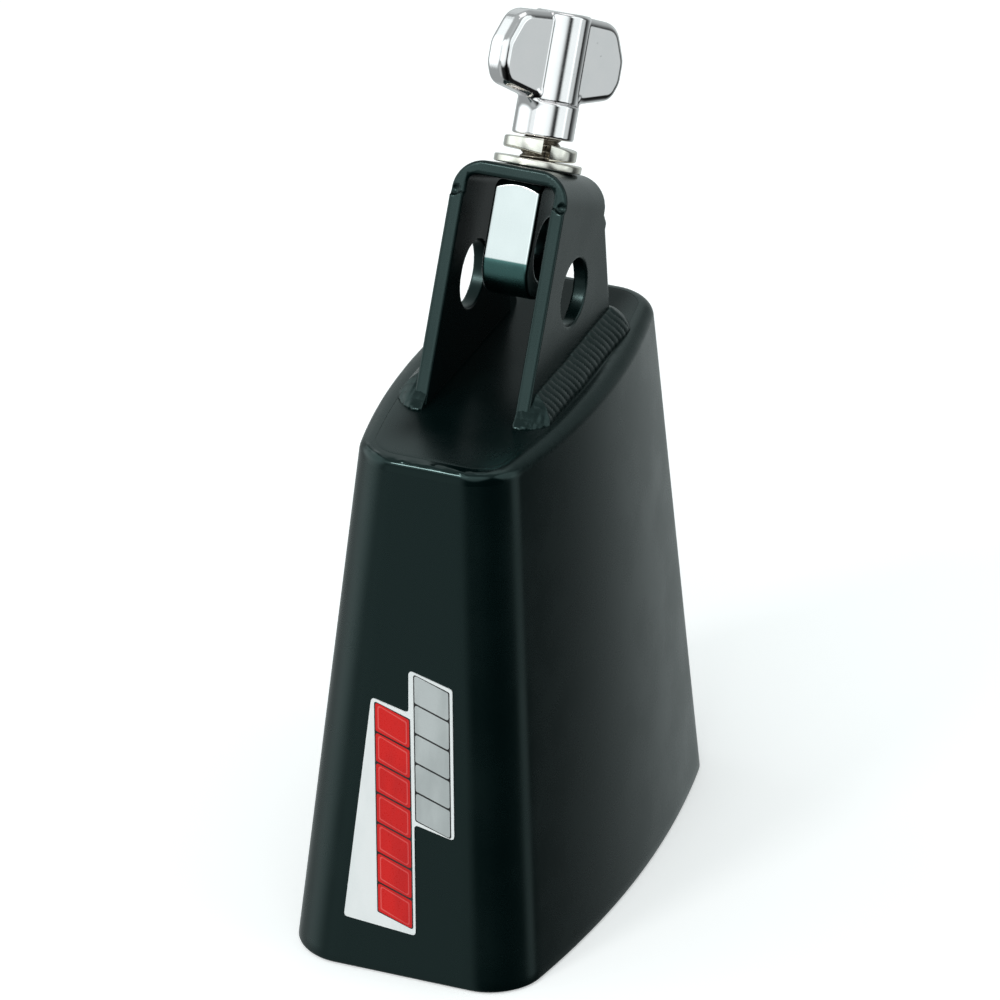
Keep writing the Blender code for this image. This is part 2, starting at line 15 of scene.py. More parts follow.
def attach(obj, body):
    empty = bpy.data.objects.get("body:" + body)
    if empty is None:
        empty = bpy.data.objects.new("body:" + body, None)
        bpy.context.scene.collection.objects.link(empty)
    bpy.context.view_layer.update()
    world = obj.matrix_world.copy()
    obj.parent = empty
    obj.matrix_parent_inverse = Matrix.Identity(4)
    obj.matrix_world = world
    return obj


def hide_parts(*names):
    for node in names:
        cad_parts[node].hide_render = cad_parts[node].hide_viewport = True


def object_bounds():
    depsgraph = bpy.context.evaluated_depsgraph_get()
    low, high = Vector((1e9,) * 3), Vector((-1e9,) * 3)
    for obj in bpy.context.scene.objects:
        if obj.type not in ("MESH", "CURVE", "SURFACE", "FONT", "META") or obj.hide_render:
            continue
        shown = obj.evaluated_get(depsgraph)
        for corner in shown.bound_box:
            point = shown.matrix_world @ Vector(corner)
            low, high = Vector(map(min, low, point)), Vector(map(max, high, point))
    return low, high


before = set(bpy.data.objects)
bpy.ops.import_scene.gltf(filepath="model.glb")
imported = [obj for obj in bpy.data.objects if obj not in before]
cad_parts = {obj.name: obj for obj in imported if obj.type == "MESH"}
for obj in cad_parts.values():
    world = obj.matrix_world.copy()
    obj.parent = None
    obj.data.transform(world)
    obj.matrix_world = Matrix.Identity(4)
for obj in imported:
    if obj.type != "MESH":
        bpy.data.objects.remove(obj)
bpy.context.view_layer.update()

MM = 0.001

# Bell body.
BELL_HEIGHT = 111.0
MOUTH_WIDTH = 49.2
MOUTH_DEPTH = 109.4
MOUTH_CORNER = 9.5
CAP_WIDTH = 30.4
CAP_DEPTH = 88.5
CAP_CORNER = 8.0
FRONT_FLARE = 13.9
SIDE_BULGE = 5.9
SHEET = 1.4
CAP_THICK = 2.0
CAP_EDGE_WIDTH = 2.8
CAP_EDGE_HEIGHT = 2.5
CAP_UNDER_WELD = 0.6
CAP_EDGE_SINK = 0.02
CAP_EDGE_POWER = 0.45
CAP_LUMP_ANGLE = 62.0
CAP_LUMP_SPREAD = 12.0
CAP_LUMP_HEIGHT = 0.58
WELD_GAP = 0.1

# Weld that closes the sheet, down the back.
SEAM_MARGIN = 2.5
SEAM_HALF_WIDTH = 2.0
SEAM_CROWN = 0.62
SEAM_PITCH = 2.0
SEAM_SINK = 0.05

# Bracket.
BRACKET_LEAN = math.radians(27.4)
BRACKET_TOP_HEIGHT = 43.5
BRACKET_WIDTH = 24.8
BRACKET_THICK = 3.0
BRACKET_BEND = 6.5
BRACKET_INNER_BEND = 2.0
BRACKET_EDGE = 0.65
PLATE_FRONT = 14.0
PLATE_BACK = 10.6
LEG_FRONT = 14.7
LEG_BACK = 12.8
RELIEF_DROP = 6.9
AXIS_FROM_CAP_FRONT = 39.5
LEG_BACK_FROM_AXIS = 30.0
ROD_HOLE_DROP = 23.3
ROD_HOLE_DIA = 14.0
BOLT_HOLE_DIA = 8.8
LEG_WELD_WIDTH = 3.6
LEG_WELD_HEIGHT = 4.2
LEG_WELD_PITCH = 1.9
LEG_WELD_POWER = 1.45
LEG_WELD_SINK = 0.4
LEG_TOE_SHRINK = 0.60
LEG_TOE_LENGTH = 3.2
DIMPLE_RADIUS = 1.15

# Hardware, stacked upwards from the top plate.
STACK_GAP = 0.15
SHANK_DIA = 7.8
SHANK_END = 27.0
THREAD_PITCH = 1.25
THREAD_DEPTH = 0.55
NUT_BORE_DIA = 7.96
NUT_TURNS = 6
EYE_DEPTH = 18.6
EYE_BOTTOM_DROP = 26.2
EYE_CORNER = 7.2
EYE_HOLE_DIA = 13.0
EYE_WIDTH = 10.0
EYE_TURNED_DIA = 17.6
EYE_REST_DROP = ROD_HOLE_DROP - NUT_TURNS * THREAD_PITCH
WASHER_OUTER_DIA = 17.9
WASHER_INNER_DIA = 8.6
WASHER_THICK = 1.6
SPRING_OUTER_DIA = 15.1
SPRING_INNER_DIA = 8.7
SPRING_THICK = 2.4
SPRING_RISE = 1.9
SPRING_NOSE = 0.9
SPRING_NOSE_SHARE = 0.14
SPRING_SPLIT_ANGLE = math.radians(-61.0)
SPRING_SPLIT = 1.4
NUT_HEIGHT = 25.5
NUT_BARREL_DIA = 11.6
NUT_HUB_DIA = 12.6
NUT_HUB_HEIGHT = 7.3
WING_SPAN = 35.0
WING_THICK = 5.6
WING_ROOT_BOTTOM = 7.2
WING_TIP_BOTTOM = 9.4
WING_TIP_TOP = 24.9
WING_ROOT_TOP = 25.3
WING_LOW_CUT = 3.6
WING_HIGH_CUT = 7.0
WING_ROOT = 5.2
WING_CORNER = 5.0
WING_EDGE = 1.9
WING_FILLET = 2.4
WING_TURN = math.radians(-115.0)

# Label.
LABEL_THICK = 0.2
LABEL_GAP = 0.1
LABEL_SLANT = 0.062
LABEL_RISE = 0.27
LABEL_BOTTOM = 10.0
LABEL_BAND_WIDTH = 9.0
LOWER_BAND_TOP = 58.6
LOWER_BAND_LEFT = -9.2
UPPER_BAND_BOTTOM = 33.6
UPPER_BAND_TOP = 66.0
UPPER_BAND_LEFT = -1.0
LABEL_TAIL = 13.6
INK_GAP = 0.005
INK_THICK = 0.02
SILVER_BLOCKS = 5
RED_BLOCKS = 7

# Roughness of the coat, and grid steps of the carved pieces.
COAT_ROUGHNESS = 0.27
WELD_COAT_ROUGHNESS = 0.28
BRACKET_STEP = 0.42
LEG_WELD_STEP = 0.26
EYE_STEP = 0.34
NUT_STEP = 0.30

# Camera, as a view direction round the object.
CAMERA_TARGET = (0.0003, -0.0019, 0.0838)
CAMERA_AZIMUTH = 22.0
CAMERA_ELEVATION = 28.78
CAMERA_DISTANCE = 2.0
CAMERA_LENS = 354.22

# Worked out from the dimensions above.
MOUTH_FRONT = -MOUTH_DEPTH / 2
MOUTH_BACK = MOUTH_DEPTH / 2
CAP_FRONT = MOUTH_FRONT + FRONT_FLARE
CAP_BACK = CAP_FRONT + CAP_DEPTH
AXIS_Y = CAP_FRONT + AXIS_FROM_CAP_FRONT
LEG_OUTSIDE = BRACKET_WIDTH / 2
LEG_INSIDE = LEG_OUTSIDE - BRACKET_THICK
LEAN_SIN = math.sin(BRACKET_LEAN)
LEAN_COS = math.cos(BRACKET_LEAN)
LEAN_RISE = LEAN_SIN / LEAN_COS
LEG_FOOT_FRONT = AXIS_Y - LEG_FRONT / LEAN_COS
BRACKET_ORIGIN = np.array((
    0.0,
    AXIS_Y + BRACKET_TOP_HEIGHT * LEAN_SIN,
    BELL_HEIGHT + BRACKET_TOP_HEIGHT * LEAN_COS,
))
# Columns are the bracket frame's axes in the bell frame.
BRACKET_AXES = np.array((
    (1.0, 0.0, 0.0),
    (0.0, LEAN_COS, LEAN_SIN),
    (0.0, -LEAN_SIN, LEAN_COS),
))
WASHER_BASE = STACK_GAP
SPRING_BASE = WASHER_BASE + WASHER_THICK + STACK_GAP
NUT_BASE = SPRING_BASE + SPRING_THICK + SPRING_RISE + STACK_GAP
EYE_TOP = -BRACKET_THICK - STACK_GAP
LABEL_STEP = LABEL_RISE * LABEL_BAND_WIDTH


# ------------ meshes

def to_bell(points):
    """Bracket frame points in the bell frame."""
    return points @ BRACKET_AXES.T + BRACKET_ORIGIN


def to_bracket(points):
    """Bell frame points in the bracket frame."""
    return (points - BRACKET_ORIGIN) @ BRACKET_AXES


def add_piece(name, points, faces, finish, body, stands_for=(), leaning=False, normals=None):
    """Write points (mm) and faces as a smooth piece that rides on a body.

    The points as given are kept in the attribute "local" for the materials.
    """
    local = np.asarray(points, float)
    placed = to_bell(local) if leaning else local
    mesh = bpy.data.meshes.new(name)
    mesh.from_pydata((placed * MM).tolist(), [], faces)
    mesh.update()
    mesh.polygons.foreach_set("use_smooth", np.ones(len(mesh.polygons), bool))
    attribute = mesh.attributes.new("local", "FLOAT_VECTOR", "POINT")
    attribute.data.foreach_set("vector", local.astype(np.float32).ravel())
    if normals is not None:
        turned = normals @ BRACKET_AXES.T if leaning else normals
        mesh.normals_split_custom_set_from_vertices(turned.tolist())
    mesh.materials.append(finish)
    item = bpy.data.objects.new(name, mesh)
    bpy.context.scene.collection.objects.link(item)
    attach(item, body)
    if stands_for:
        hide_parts(*stands_for)
    return item


def add_gloss(item, behind):
    """Mark a weld as glossier in front of a given Y, for its material."""
    places = np.empty(3 * len(item.data.vertices), np.float32)
    item.data.vertices.foreach_get("co", places)
    y = places[1::3] / MM
    gloss = np.clip((behind - y) / 2.0, 0.0, 1.0)
    attribute = item.data.attributes.new("gloss", "FLOAT", "POINT")
    attribute.data.foreach_set("value", gloss.astype(np.float32))


def sharpen(item, limit):
    """Keep edges that turn more than the limit, in degrees, crisp."""
    item.data.set_sharp_from_angle(angle=math.radians(limit))


def loft(rings, closed=False):
    """Skin equal-length rings of points, capping both ends unless the loft is closed."""
    count = len(rings[0])
    points = np.concatenate([np.asarray(ring, float) for ring in rings])
    faces = []
    spans = len(rings) if closed else len(rings) - 1
    for span in range(spans):
        low = span * count
        high = ((span + 1) % len(rings)) * count
        for index in range(count):
            after = (index + 1) % count
            faces.append((low + index, low + after, high + after, high + index))
    if not closed:
        faces.append(tuple(reversed(range(count))))
        faces.append(tuple(range(len(points) - count, len(points))))
    return points, faces


OTHER_AXES = ((1, 2), (0, 2), (0, 1))


def surface_net(shape, low, high, step):
    """Points and quads on the zero level of a distance function, sampled on a grid."""
    low = np.array(low, float)
    count = np.ceil((np.array(high, float) - low) / step).astype(int) + 1
    axes = [low[axis] + step * np.arange(count[axis]) for axis in range(3)]
    grid = np.stack(np.meshgrid(*axes, indexing="ij"), axis=-1)
    value = shape(grid.reshape(-1, 3)).reshape(count)
    cells = tuple(count - 1)
    total = np.zeros((*cells, 3))
    number = np.zeros(cells)
    crossings = []
    for axis in range(3):
        first = [slice(None)] * 3
        second = [slice(None)] * 3
        first[axis] = slice(0, -1)
        second[axis] = slice(1, None)
        a = value[tuple(first)]
        b = value[tuple(second)]
        cross = (a < 0) != (b < 0)
        crossings.append((a < 0, cross))
        share = np.where(cross, a / np.where(cross, a - b, 1.0), 0.0)
        point = grid[tuple(first)].copy()
        point[..., axis] += share * step
        left, right = OTHER_AXES[axis]
        for da in (0, 1):
            for db in (0, 1):
                take = [slice(None)] * 3
                take[left] = slice(da, da + cells[left])
                take[right] = slice(db, db + cells[right])
                chosen = cross[tuple(take)]
                number += chosen
                total += np.where(chosen[..., None], point[tuple(take)], 0.0)
    active = number > 0
    index = np.full(cells, -1)
    index[active] = np.arange(active.sum())
    points = total[active] / number[active][:, None]
    faces = []
    for axis in range(3):
        starts_inside, cross = crossings[axis]
        left, right = OTHER_AXES[axis]
        inner = [slice(None)] * 3
        inner[left] = slice(1, -1)
        inner[right] = slice(1, -1)
        here = cross[tuple(inner)]
        corners = []
        for da, db in ((0, 0), (1, 0), (1, 1), (0, 1)):
            take = [slice(None)] * 3
            take[left] = slice(da, da + cells[left] - 1)
            take[right] = slice(db, db + cells[right] - 1)
            corners.append(index[tuple(take)][here])
        quads = np.stack(corners, axis=-1)
        forward = starts_inside[tuple(inner)][here]
        if axis == 1:
            forward = ~forward
        quads[~forward] = quads[~forward][:, ::-1]
        faces.append(quads)
    return points, np.concatenate(faces)


def slope_of(shape, points, reach=0.02):
    """Gradient of a distance function by central differences."""
    slope = np.zeros_like(points)
    for axis in range(3):
        offset = np.zeros(3)
        offset[axis] = reach
        slope[:, axis] = (shape(points + offset) - shape(points - offset)) / (2 * reach)
    return slope


def carve(name, shape, low, high, step, finish, body, stands_for=(), leaning=False):
    """Mesh a distance function as a piece, with its points and normals on the true surface."""
    points, faces = surface_net(shape, low, high, step)
    for _ in range(4):
        slope = slope_of(shape, points)
        size = np.maximum((slope ** 2).sum(axis=1), 0.1)
        move = (shape(points) / size)[:, None] * slope
        length = np.maximum(np.linalg.norm(move, axis=1), 1e-9)
        move *= np.minimum(1.0, 0.6 * step / length)[:, None]
        points = points - move
    slope = slope_of(shape, points)
    normals = slope / np.maximum(np.linalg.norm(slope, axis=1), 1e-9)[:, None]
    return add_piece(name, points, faces.tolist(), finish, body, stands_for, leaning, normals)


# ------------ distance functions

def both(a, b, radius=0.0):
    """Where two shapes overlap, its edge rounded to a radius."""
    if radius <= 0:
        return np.maximum(a, b)
    corner = np.hypot(np.maximum(a + radius, 0), np.maximum(b + radius, 0))
    return np.minimum(-radius, np.maximum(a, b)) + corner


def either(a, b, radius=0.0):
    """Two shapes joined, the inside corner between them filled to a radius."""
    return -both(-a, -b, radius)


def rounded_quadrant(across, up, radius):
    """Distance to the corner across < 0, up < 0, rounded to a radius."""
    right = across + radius
    top = up + radius
    outside = np.hypot(np.maximum(right, 0), np.maximum(top, 0))
    return outside + np.minimum(np.maximum(right, top), 0) - radius


def polygon(corners, across, up):
    """Distance to a closed outline, negative inside it."""
    best = np.full(across.shape, np.inf)
    sign = np.ones(across.shape)
    for index, (bx, by) in enumerate(corners):
        ax, ay = corners[index - 1]
        ex, ey = ax - bx, ay - by
        wx, wy = across - bx, up - by
        share = np.clip((wx * ex + wy * ey) / (ex * ex + ey * ey), 0, 1)
        best = np.minimum(best, (wx - ex * share) ** 2 + (wy - ey * share) ** 2)
        over = up >= by
        under = up < ay
        turn = ex * wy > ey * wx
        flip = (over & under & turn) | (~over & ~under & ~turn)
        sign = np.where(flip, -sign, sign)
    return sign * np.sqrt(best)


def ripple(*phases):
    """Smooth pseudo-random waves between -1 and 1, from fixed sines."""
    total = 0.0
    for index, phase in enumerate(phases):
        total = total + np.sin(phase + 1.7 * index)
        total = total + 0.6 * np.sin(2.3 * phase + 0.9 * index + 0.4)
    return total / (1.6 * len(phases))


# ------------ materials

class Nodes:
    """Short calls for building one node tree."""

    def __init__(self, tree):
        self.tree = tree

    def add(self, kind, values=None, **settings):
        """A new node with its settings and input values."""
        node = self.tree.nodes.new(kind)
        for key, value in settings.items():
            setattr(node, key, value)
        for key, value in (values or {}).items():
            self.put(node.inputs[key], value)
        return node

    def put(self, socket, value):
        """Link another node's output to a socket, or set the socket's own value."""
        if hasattr(value, "links"):
            self.tree.links.new(value, socket)
        else:
            socket.default_value = value

    def math(self, operation, first, second=0.0, third=0.0):
        node = self.add("ShaderNodeMath", operation=operation)
        for socket, value in zip(node.inputs, (first, second, third)):
            self.put(socket, value)
        return node.outputs[0]

    def ramp(self, value, low, high, out_low=0.0, out_high=1.0):
        """Smooth step from out_low to out_high while the value goes from low to high."""
        node = self.add("ShaderNodeMapRange", {
            "Value": value,
            "From Min": low,
            "From Max": high,
            "To Min": out_low,
            "To Max": out_high,
        }, interpolation_type="SMOOTHSTEP")
        return node.outputs["Result"]

    def mix(self, share, first, second):
        """Colour between the first and the second, by share."""
        node = self.add("ShaderNodeMix", data_type="RGBA")
        self.put(node.inputs["Factor"], share)
        colours = [socket for socket in node.inputs if socket.type == "RGBA"]
        for socket, value in zip(colours, (first, second)):
            self.put(socket, value)
        return [socket for socket in node.outputs if socket.type == "RGBA"][0]

    def local(self):
        """The piece's own coordinates, in millimetres."""
        return self.add("ShaderNodeAttribute", attribute_name="local").outputs["Vector"]

    def noise(self, place, size, detail=2.0, stretch=None):
        """Noise whose features are about size millimetres."""
        if stretch is not None:
            scaled = self.add("ShaderNodeVectorMath", operation="MULTIPLY")
            self.put(scaled.inputs[0], place)
            scaled.inputs[1].default_value = stretch
            place = scaled.outputs[0]
        node = self.add("ShaderNodeTexNoise", {"Vector": place, "Scale": 1.0 / size, "Detail": detail})
        return node.outputs["Fac"]

    def parts(self, place):
        """X, Y and Z of a vector."""
        node = self.add("ShaderNodeSeparateXYZ")
        self.put(node.inputs[0], place)
        return node.outputs

    def bump(self, height, strength, distance):
        node = self.add("ShaderNodeBump", {"Strength": strength, "Distance": distance * MM})
        self.put(node.inputs["Height"], height)
        return node.outputs["Normal"]


def new_material(name):
    """An empty node material, its helper and its Principled shader."""
    made = bpy.data.materials.new(name)
    made.use_nodes = True
    shader = made.node_tree.nodes["Principled BSDF"]
    return made, Nodes(made.node_tree), shader


def shade_under_bracket(nodes, place):
    """Share of painted shade on the cap, between and just before the legs, where the bracket's shade
    falls.
    """
    x, y, _ = nodes.parts(place)
    across = nodes.ramp(nodes.math("ABSOLUTE", x), LEG_INSIDE - 1.0, LEG_INSIDE + 7.0, 1.0, 0.0)
    along = nodes.ramp(y, LEG_FOOT_FRONT - 19.0, LEG_FOOT_FRONT - 7.0)
    return nodes.math("MULTIPLY", across, along)


def shade_inside_bracket(nodes, place):
    """Share of painted shade on the bracket, which is its inner faces."""
    x, _, z = nodes.parts(place)
    across = nodes.ramp(nodes.math("ABSOLUTE", x), LEG_INSIDE + 0.1, LEG_INSIDE + 0.4, 1.0, 0.0)
    below = nodes.ramp(z, -BRACKET_THICK, 0.3 - BRACKET_THICK, 1.0, 0.0)
    return nodes.math("MULTIPLY", across, below)


def paint_material(name, roughness, gloss_spots=0.0, shade_mask=None):
    """Satin black powder coat: fine orange peel, faint mottling and a cool tint.

    Where a shade mask is given, the specular level is lowered there: painted shade of the bracket.
    """
    made, nodes, shader = new_material(name)
    place = nodes.local()
    broad = nodes.noise(place, 14.0, 3.0)
    peel = nodes.noise(place, 0.9, 2.0)
    fine = nodes.noise(place, 0.22, 1.0)
    colour = nodes.mix(broad, (0.0006, 0.0036, 0.0036, 1), (0.0014, 0.0052, 0.0052, 1))
    nodes.put(shader.inputs["Base Color"], colour)
    rough = nodes.ramp(broad, 0.3, 0.7, roughness - 0.03, roughness + 0.03)
    if gloss_spots > 0:
        spots = nodes.noise(place, 1.6, 1.0)
        rough = nodes.math("SUBTRACT", rough, nodes.ramp(spots, 0.45, 0.65, 0.0, gloss_spots))
    rough = nodes.math("ADD", rough, nodes.ramp(fine, 0.2, 0.8, -0.02, 0.02))
    wet = nodes.add("ShaderNodeAttribute", attribute_name="gloss").outputs["Fac"]
    rough = nodes.math("MULTIPLY_ADD", wet, -0.17, rough)
    nodes.put(shader.inputs["Roughness"], rough)
    height = nodes.math("MULTIPLY_ADD", peel, 0.7, nodes.math("MULTIPLY", fine, 0.3))
    nodes.put(shader.inputs["Normal"], nodes.bump(height, 0.5, 0.012))
    if shade_mask is not None:
        # Painted shade: lower specular where the bracket's shade falls.
        level = nodes.math("MULTIPLY_ADD", shade_mask(nodes, place), -0.40, 0.5)
        nodes.put(shader.inputs["Specular IOR Level"], level)
    shader.inputs["Specular Tint"].default_value = (0.68, 1.0, 0.97, 1)
    return made


def metal_material(name, colour, dark, roughness, patch, grain=None, grain_depth=0.0, pits=0.0):
    """Plated metal with patchy roughness, fine grain and optional small pits."""
    made, nodes, shader = new_material(name)
    place = nodes.local()
    broad = nodes.noise(place, patch, 3.0)
    fine = nodes.noise(place, 0.35, 2.0, grain)
    share = nodes.ramp(broad, 0.35, 0.75)
    tone = nodes.mix(nodes.math("MULTIPLY", share, 0.6), (*colour, 1), (*dark, 1))
    rough = nodes.ramp(broad, 0.3, 0.7, roughness * 0.8, roughness * 1.25)
    rough = nodes.math("ADD", rough, nodes.ramp(fine, 0.3, 0.7, -0.02, 0.03))
    height = fine
    if pits > 0:
        cell = nodes.add("ShaderNodeTexVoronoi", {"Vector": place, "Scale": 0.55})
        pit = nodes.ramp(cell.outputs["Distance"], 0.0, pits, 1.0, 0.0)
        where = nodes.ramp(nodes.noise(place, 2.5, 2.0), 0.52, 0.62)
        pit = nodes.math("MULTIPLY", pit, where)
        tone = nodes.mix(nodes.math("MULTIPLY", pit, 0.75), tone, (0.10, 0.11, 0.11, 1))
        height = nodes.math("SUBTRACT", height, nodes.math("MULTIPLY", pit, 4.0))
    nodes.put(shader.inputs["Base Color"], tone)
    nodes.put(shader.inputs["Roughness"], rough)
    nodes.put(shader.inputs["Normal"], nodes.bump(height, 0.4, grain_depth))
    shader.inputs["Metallic"].default_value = 1.0
    return made


def eye_material(name):
    """Zinc plate, bright on the flats; the dark teal on the rounded end is a painted dark reflection,
    and the near-black on the sides and in the bore is painted shade.
    """
    made, nodes, shader = new_material(name)
    place = nodes.local()
    x, y, z = nodes.parts(place)
    # The sides are darkened: painted shade.
    side = nodes.ramp(nodes.math("ABSOLUTE", x), EYE_WIDTH / 2 - 0.6, EYE_WIDTH / 2 - 0.3)
    turn = EYE_CORNER - EYE_BOTTOM_DROP
    # The rounded end turns dark teal: painted dark reflection.
    round_end = nodes.ramp(z, turn - 0.4, turn - 0.1, 1.0, 0.0)
    cloud = nodes.noise(place, 5.0, 3.0)
    fine = nodes.noise(place, 0.4, 2.0, (1.0, 1.0, 0.2))
    bright = nodes.mix(cloud, (0.74, 0.78, 0.78, 1), (0.69, 0.73, 0.73, 1))
    shaded_teal = nodes.mix(cloud, (0.08, 0.19, 0.18, 1), (0.11, 0.23, 0.22, 1))
    tone = nodes.mix(round_end, bright, shaded_teal)
    # Inside the hole is darkened: painted shade.
    raised = nodes.math("ADD", z, EYE_REST_DROP)
    square = nodes.math("ADD", nodes.math("POWER", raised, 2.0), nodes.math("POWER", y, 2.0))
    from_hole = nodes.math("SQRT", square)
    bore = nodes.ramp(from_hole, EYE_HOLE_DIA / 2 + 0.4, EYE_HOLE_DIA / 2 + 0.9, 1.0, 0.0)
    side = nodes.math("MAXIMUM", side, bore)
    nodes.put(shader.inputs["Base Color"], nodes.mix(side, tone, (0.04, 0.07, 0.07, 1)))
    painted_dark_parts = nodes.math("MAXIMUM", side, round_end)
    rough = nodes.math("MULTIPLY_ADD", painted_dark_parts, 0.12, nodes.ramp(cloud, 0.3, 0.7, 0.13, 0.18))
    nodes.put(shader.inputs["Roughness"], rough)
    nodes.put(shader.inputs["Normal"], nodes.bump(fine, 0.4, 0.006))
    shader.inputs["Metallic"].default_value = 1.0
    return made


def film_material(name, colour, edge, metallic, roughness):
    """Printed plastic film: slightly uneven ink with a soft sheen."""
    made, nodes, shader = new_material(name)
    place = nodes.local()
    cloud = nodes.noise(place, 5.0, 3.0, (1.0, 1.0, 0.25))
    dots = nodes.noise(place, 0.18, 1.0)
    tone = nodes.mix(nodes.ramp(cloud, 0.35, 0.7), (*colour, 1), (*edge, 1))
    tone = nodes.mix(nodes.ramp(dots, 0.55, 0.8, 0.0, 0.12), tone, (*[0.7 * c for c in colour], 1))
    nodes.put(shader.inputs["Base Color"], tone)
    nodes.put(shader.inputs["Roughness"], nodes.ramp(dots, 0.3, 0.7, roughness - 0.03, roughness + 0.04))
    nodes.put(shader.inputs["Normal"], nodes.bump(dots, 0.15, 0.005))
    shader.inputs["Metallic"].default_value = metallic
    return made


# ------------ bell body

CORNER_STEPS = 14
SIDE_STEPS = 56
END_STEPS = 14


def section(height):
    """Half width, front, back and corner radius of the body's outside at a height."""
    share = height / BELL_HEIGHT
    half = (MOUTH_WIDTH + (CAP_WIDTH - MOUTH_WIDTH) * share) / 2
    front = MOUTH_FRONT + (CAP_FRONT - MOUTH_FRONT) * share
    back = MOUTH_BACK + (CAP_BACK - MOUTH_BACK) * share
    corner = MOUTH_CORNER + (CAP_CORNER - MOUTH_CORNER) * share
    return half, front, back, corner


def body_ring(height, inset=0.0, lift=None):
    """Outline of the body at a height, moved inwards by the inset, as an array."""
    half, front, back, corner = section(height)
    middle = (front + back) / 2
    reach = (back - front) / 2
    radius = max(corner - inset, 0.5)
    width = half - inset - radius
    depth = reach - inset - radius
    flat = []
    for quarter, (side, end) in enumerate(((1, 1), (-1, 1), (-1, -1), (1, -1))):
        for step in range(CORNER_STEPS + 1):
            angle = math.pi / 2 * (quarter + step / CORNER_STEPS)
            flat.append((
                side * width + radius * math.cos(angle),
                end * depth + radius * math.sin(angle),
            ))
        steps = SIDE_STEPS if side * end < 0 else END_STEPS
        for step in range(1, steps):
            share = 1 - 2 * step / steps
            if side * end < 0:
                flat.append((side * (width + radius), end * depth * share))
            else:
                flat.append((side * width * share, end * (depth + radius)))
    flat = np.array(flat)
    bow = SIDE_BULGE * (1 - (flat[:, 1] / reach) ** 2) * flat[:, 0] / half
    ring = np.zeros((len(flat), 3))
    ring[:, 0] = flat[:, 0] + bow
    ring[:, 1] = middle + flat[:, 1]
    ring[:, 2] = height if lift is None else lift
    return ring


def outward(ring):
    """Unit outward directions of a level outline, in its plane."""
    ahead = np.roll(ring, -1, axis=0) - np.roll(ring, 1, axis=0)
    side = np.stack((ahead[:, 1], -ahead[:, 0], np.zeros(len(ring))), axis=1)
    return side / np.linalg.norm(side, axis=1)[:, None]


def build_body(finish):
    """The bent sheet, faintly uneven, with a rounded mouth rim."""
    top = BELL_HEIGHT - CAP_EDGE_HEIGHT
    rings = []
    levels = 56
    rim = SHEET / 2
    rim_steps = 6

    def wavy(height, inset, lift=None):
        ring = body_ring(height, inset, lift)
        wave = ripple(ring[:, 0] / 11.0, ring[:, 1] / 17.0, ring[:, 2] / 21.0)
        calm = np.clip((top - ring[:, 2]) / 12.0, 0.0, 1.0)
        return ring + outward(ring) * (0.05 * wave * calm)[:, None]

    for step in range(rim_steps):
        angle = math.pi / 2 * step / rim_steps
        rings.append(wavy(rim, rim * (1 - math.sin(angle)), rim * (1 - math.cos(angle))))
    for step in range(levels + 1):
        height = rim + (top - rim) * step / levels
        rings.append(wavy(height, 0.0))
    for step in range(levels, -1, -4):
        height = rim + (top - rim) * step / levels
        rings.append(wavy(height, SHEET))
    for step in range(rim_steps - 1, 0, -1):
        angle = math.pi / 2 * step / rim_steps
        rings.append(wavy(rim, SHEET - rim * (1 - math.sin(angle)), rim * (1 - math.cos(angle))))
    points, faces = loft(rings, closed=True)
    item = add_piece("bell_body", points, faces, finish, "bell", ("bell_shell",))
    sharpen(item, 50)


def build_cap(finish):
    """The flat plate that closes the narrow end, its edge turned down under the weld."""
    low = BELL_HEIGHT - CAP_THICK
    edge = CAP_EDGE_WIDTH - CAP_UNDER_WELD
    rings = [body_ring(BELL_HEIGHT, edge, low)]
    for inset, drop in ((0.0, 0.3), (0.5, 0.06), (0.9, 0.01), (1.6, 0.0), (3.0, 0.0), (5.0, 0.0)):
        rings.append(body_ring(BELL_HEIGHT, edge + inset, BELL_HEIGHT - drop))
    points, faces = loft(rings)
    item = add_piece("cap_panel", points, faces, finish, "bell", ("cap_plate",))
    sharpen(item, 60)


def build_cap_weld(finish):
    """Weld round the cap: smooth along the sides, squarer and lumpy along the front edge."""
    base = BELL_HEIGHT - CAP_EDGE_HEIGHT - CAP_EDGE_SINK
    size = CAP_EDGE_HEIGHT + CAP_EDGE_SINK
    rings = [body_ring(base, CAP_EDGE_WIDTH)]
    steps = 22
    for step in range(steps + 1):
        angle = math.pi / 2 * step / steps
        inset = CAP_EDGE_WIDTH * (1 - math.cos(angle))
        ring = body_ring(base + size * math.sin(angle), inset)
        square_inset = CAP_EDGE_WIDTH * (1 - math.cos(angle) ** CAP_EDGE_POWER)
        square = body_ring(base + size * math.sin(angle) ** CAP_EDGE_POWER, square_inset)
        front = np.clip((CAP_FRONT + 7.0 - ring[:, 1]) / 6.0, 0.0, 1.0)
        ring += (square - ring) * (0.25 + 0.75 * front)[:, None]
        lump = np.maximum(ripple(ring[:, 0] * 2.1, ring[:, 0] * 1.1 + ring[:, 1] * 1.3), -0.15)
        low = ripple(ring[:, 1] * 0.35, ring[:, 0] * 0.4)
        swell = math.sin(2 * angle) ** 2
        crown = math.exp(-((math.degrees(angle) - CAP_LUMP_ANGLE) / CAP_LUMP_SPREAD) ** 2)
        push = 0.05 * swell * low + front * crown * (CAP_LUMP_HEIGHT * lump + 0.05)
        direction = outward(ring) * math.cos(angle)
        direction[:, 2] = math.sin(angle)
        rings.append(ring + direction * push[:, None])
    points, faces = loft(rings, closed=True)
    item = add_piece("cap_seam_weld", points, faces, finish, "bell", ("cap_weld",))
    sharpen(item, 50)
    add_gloss(item, CAP_FRONT + 4.0)


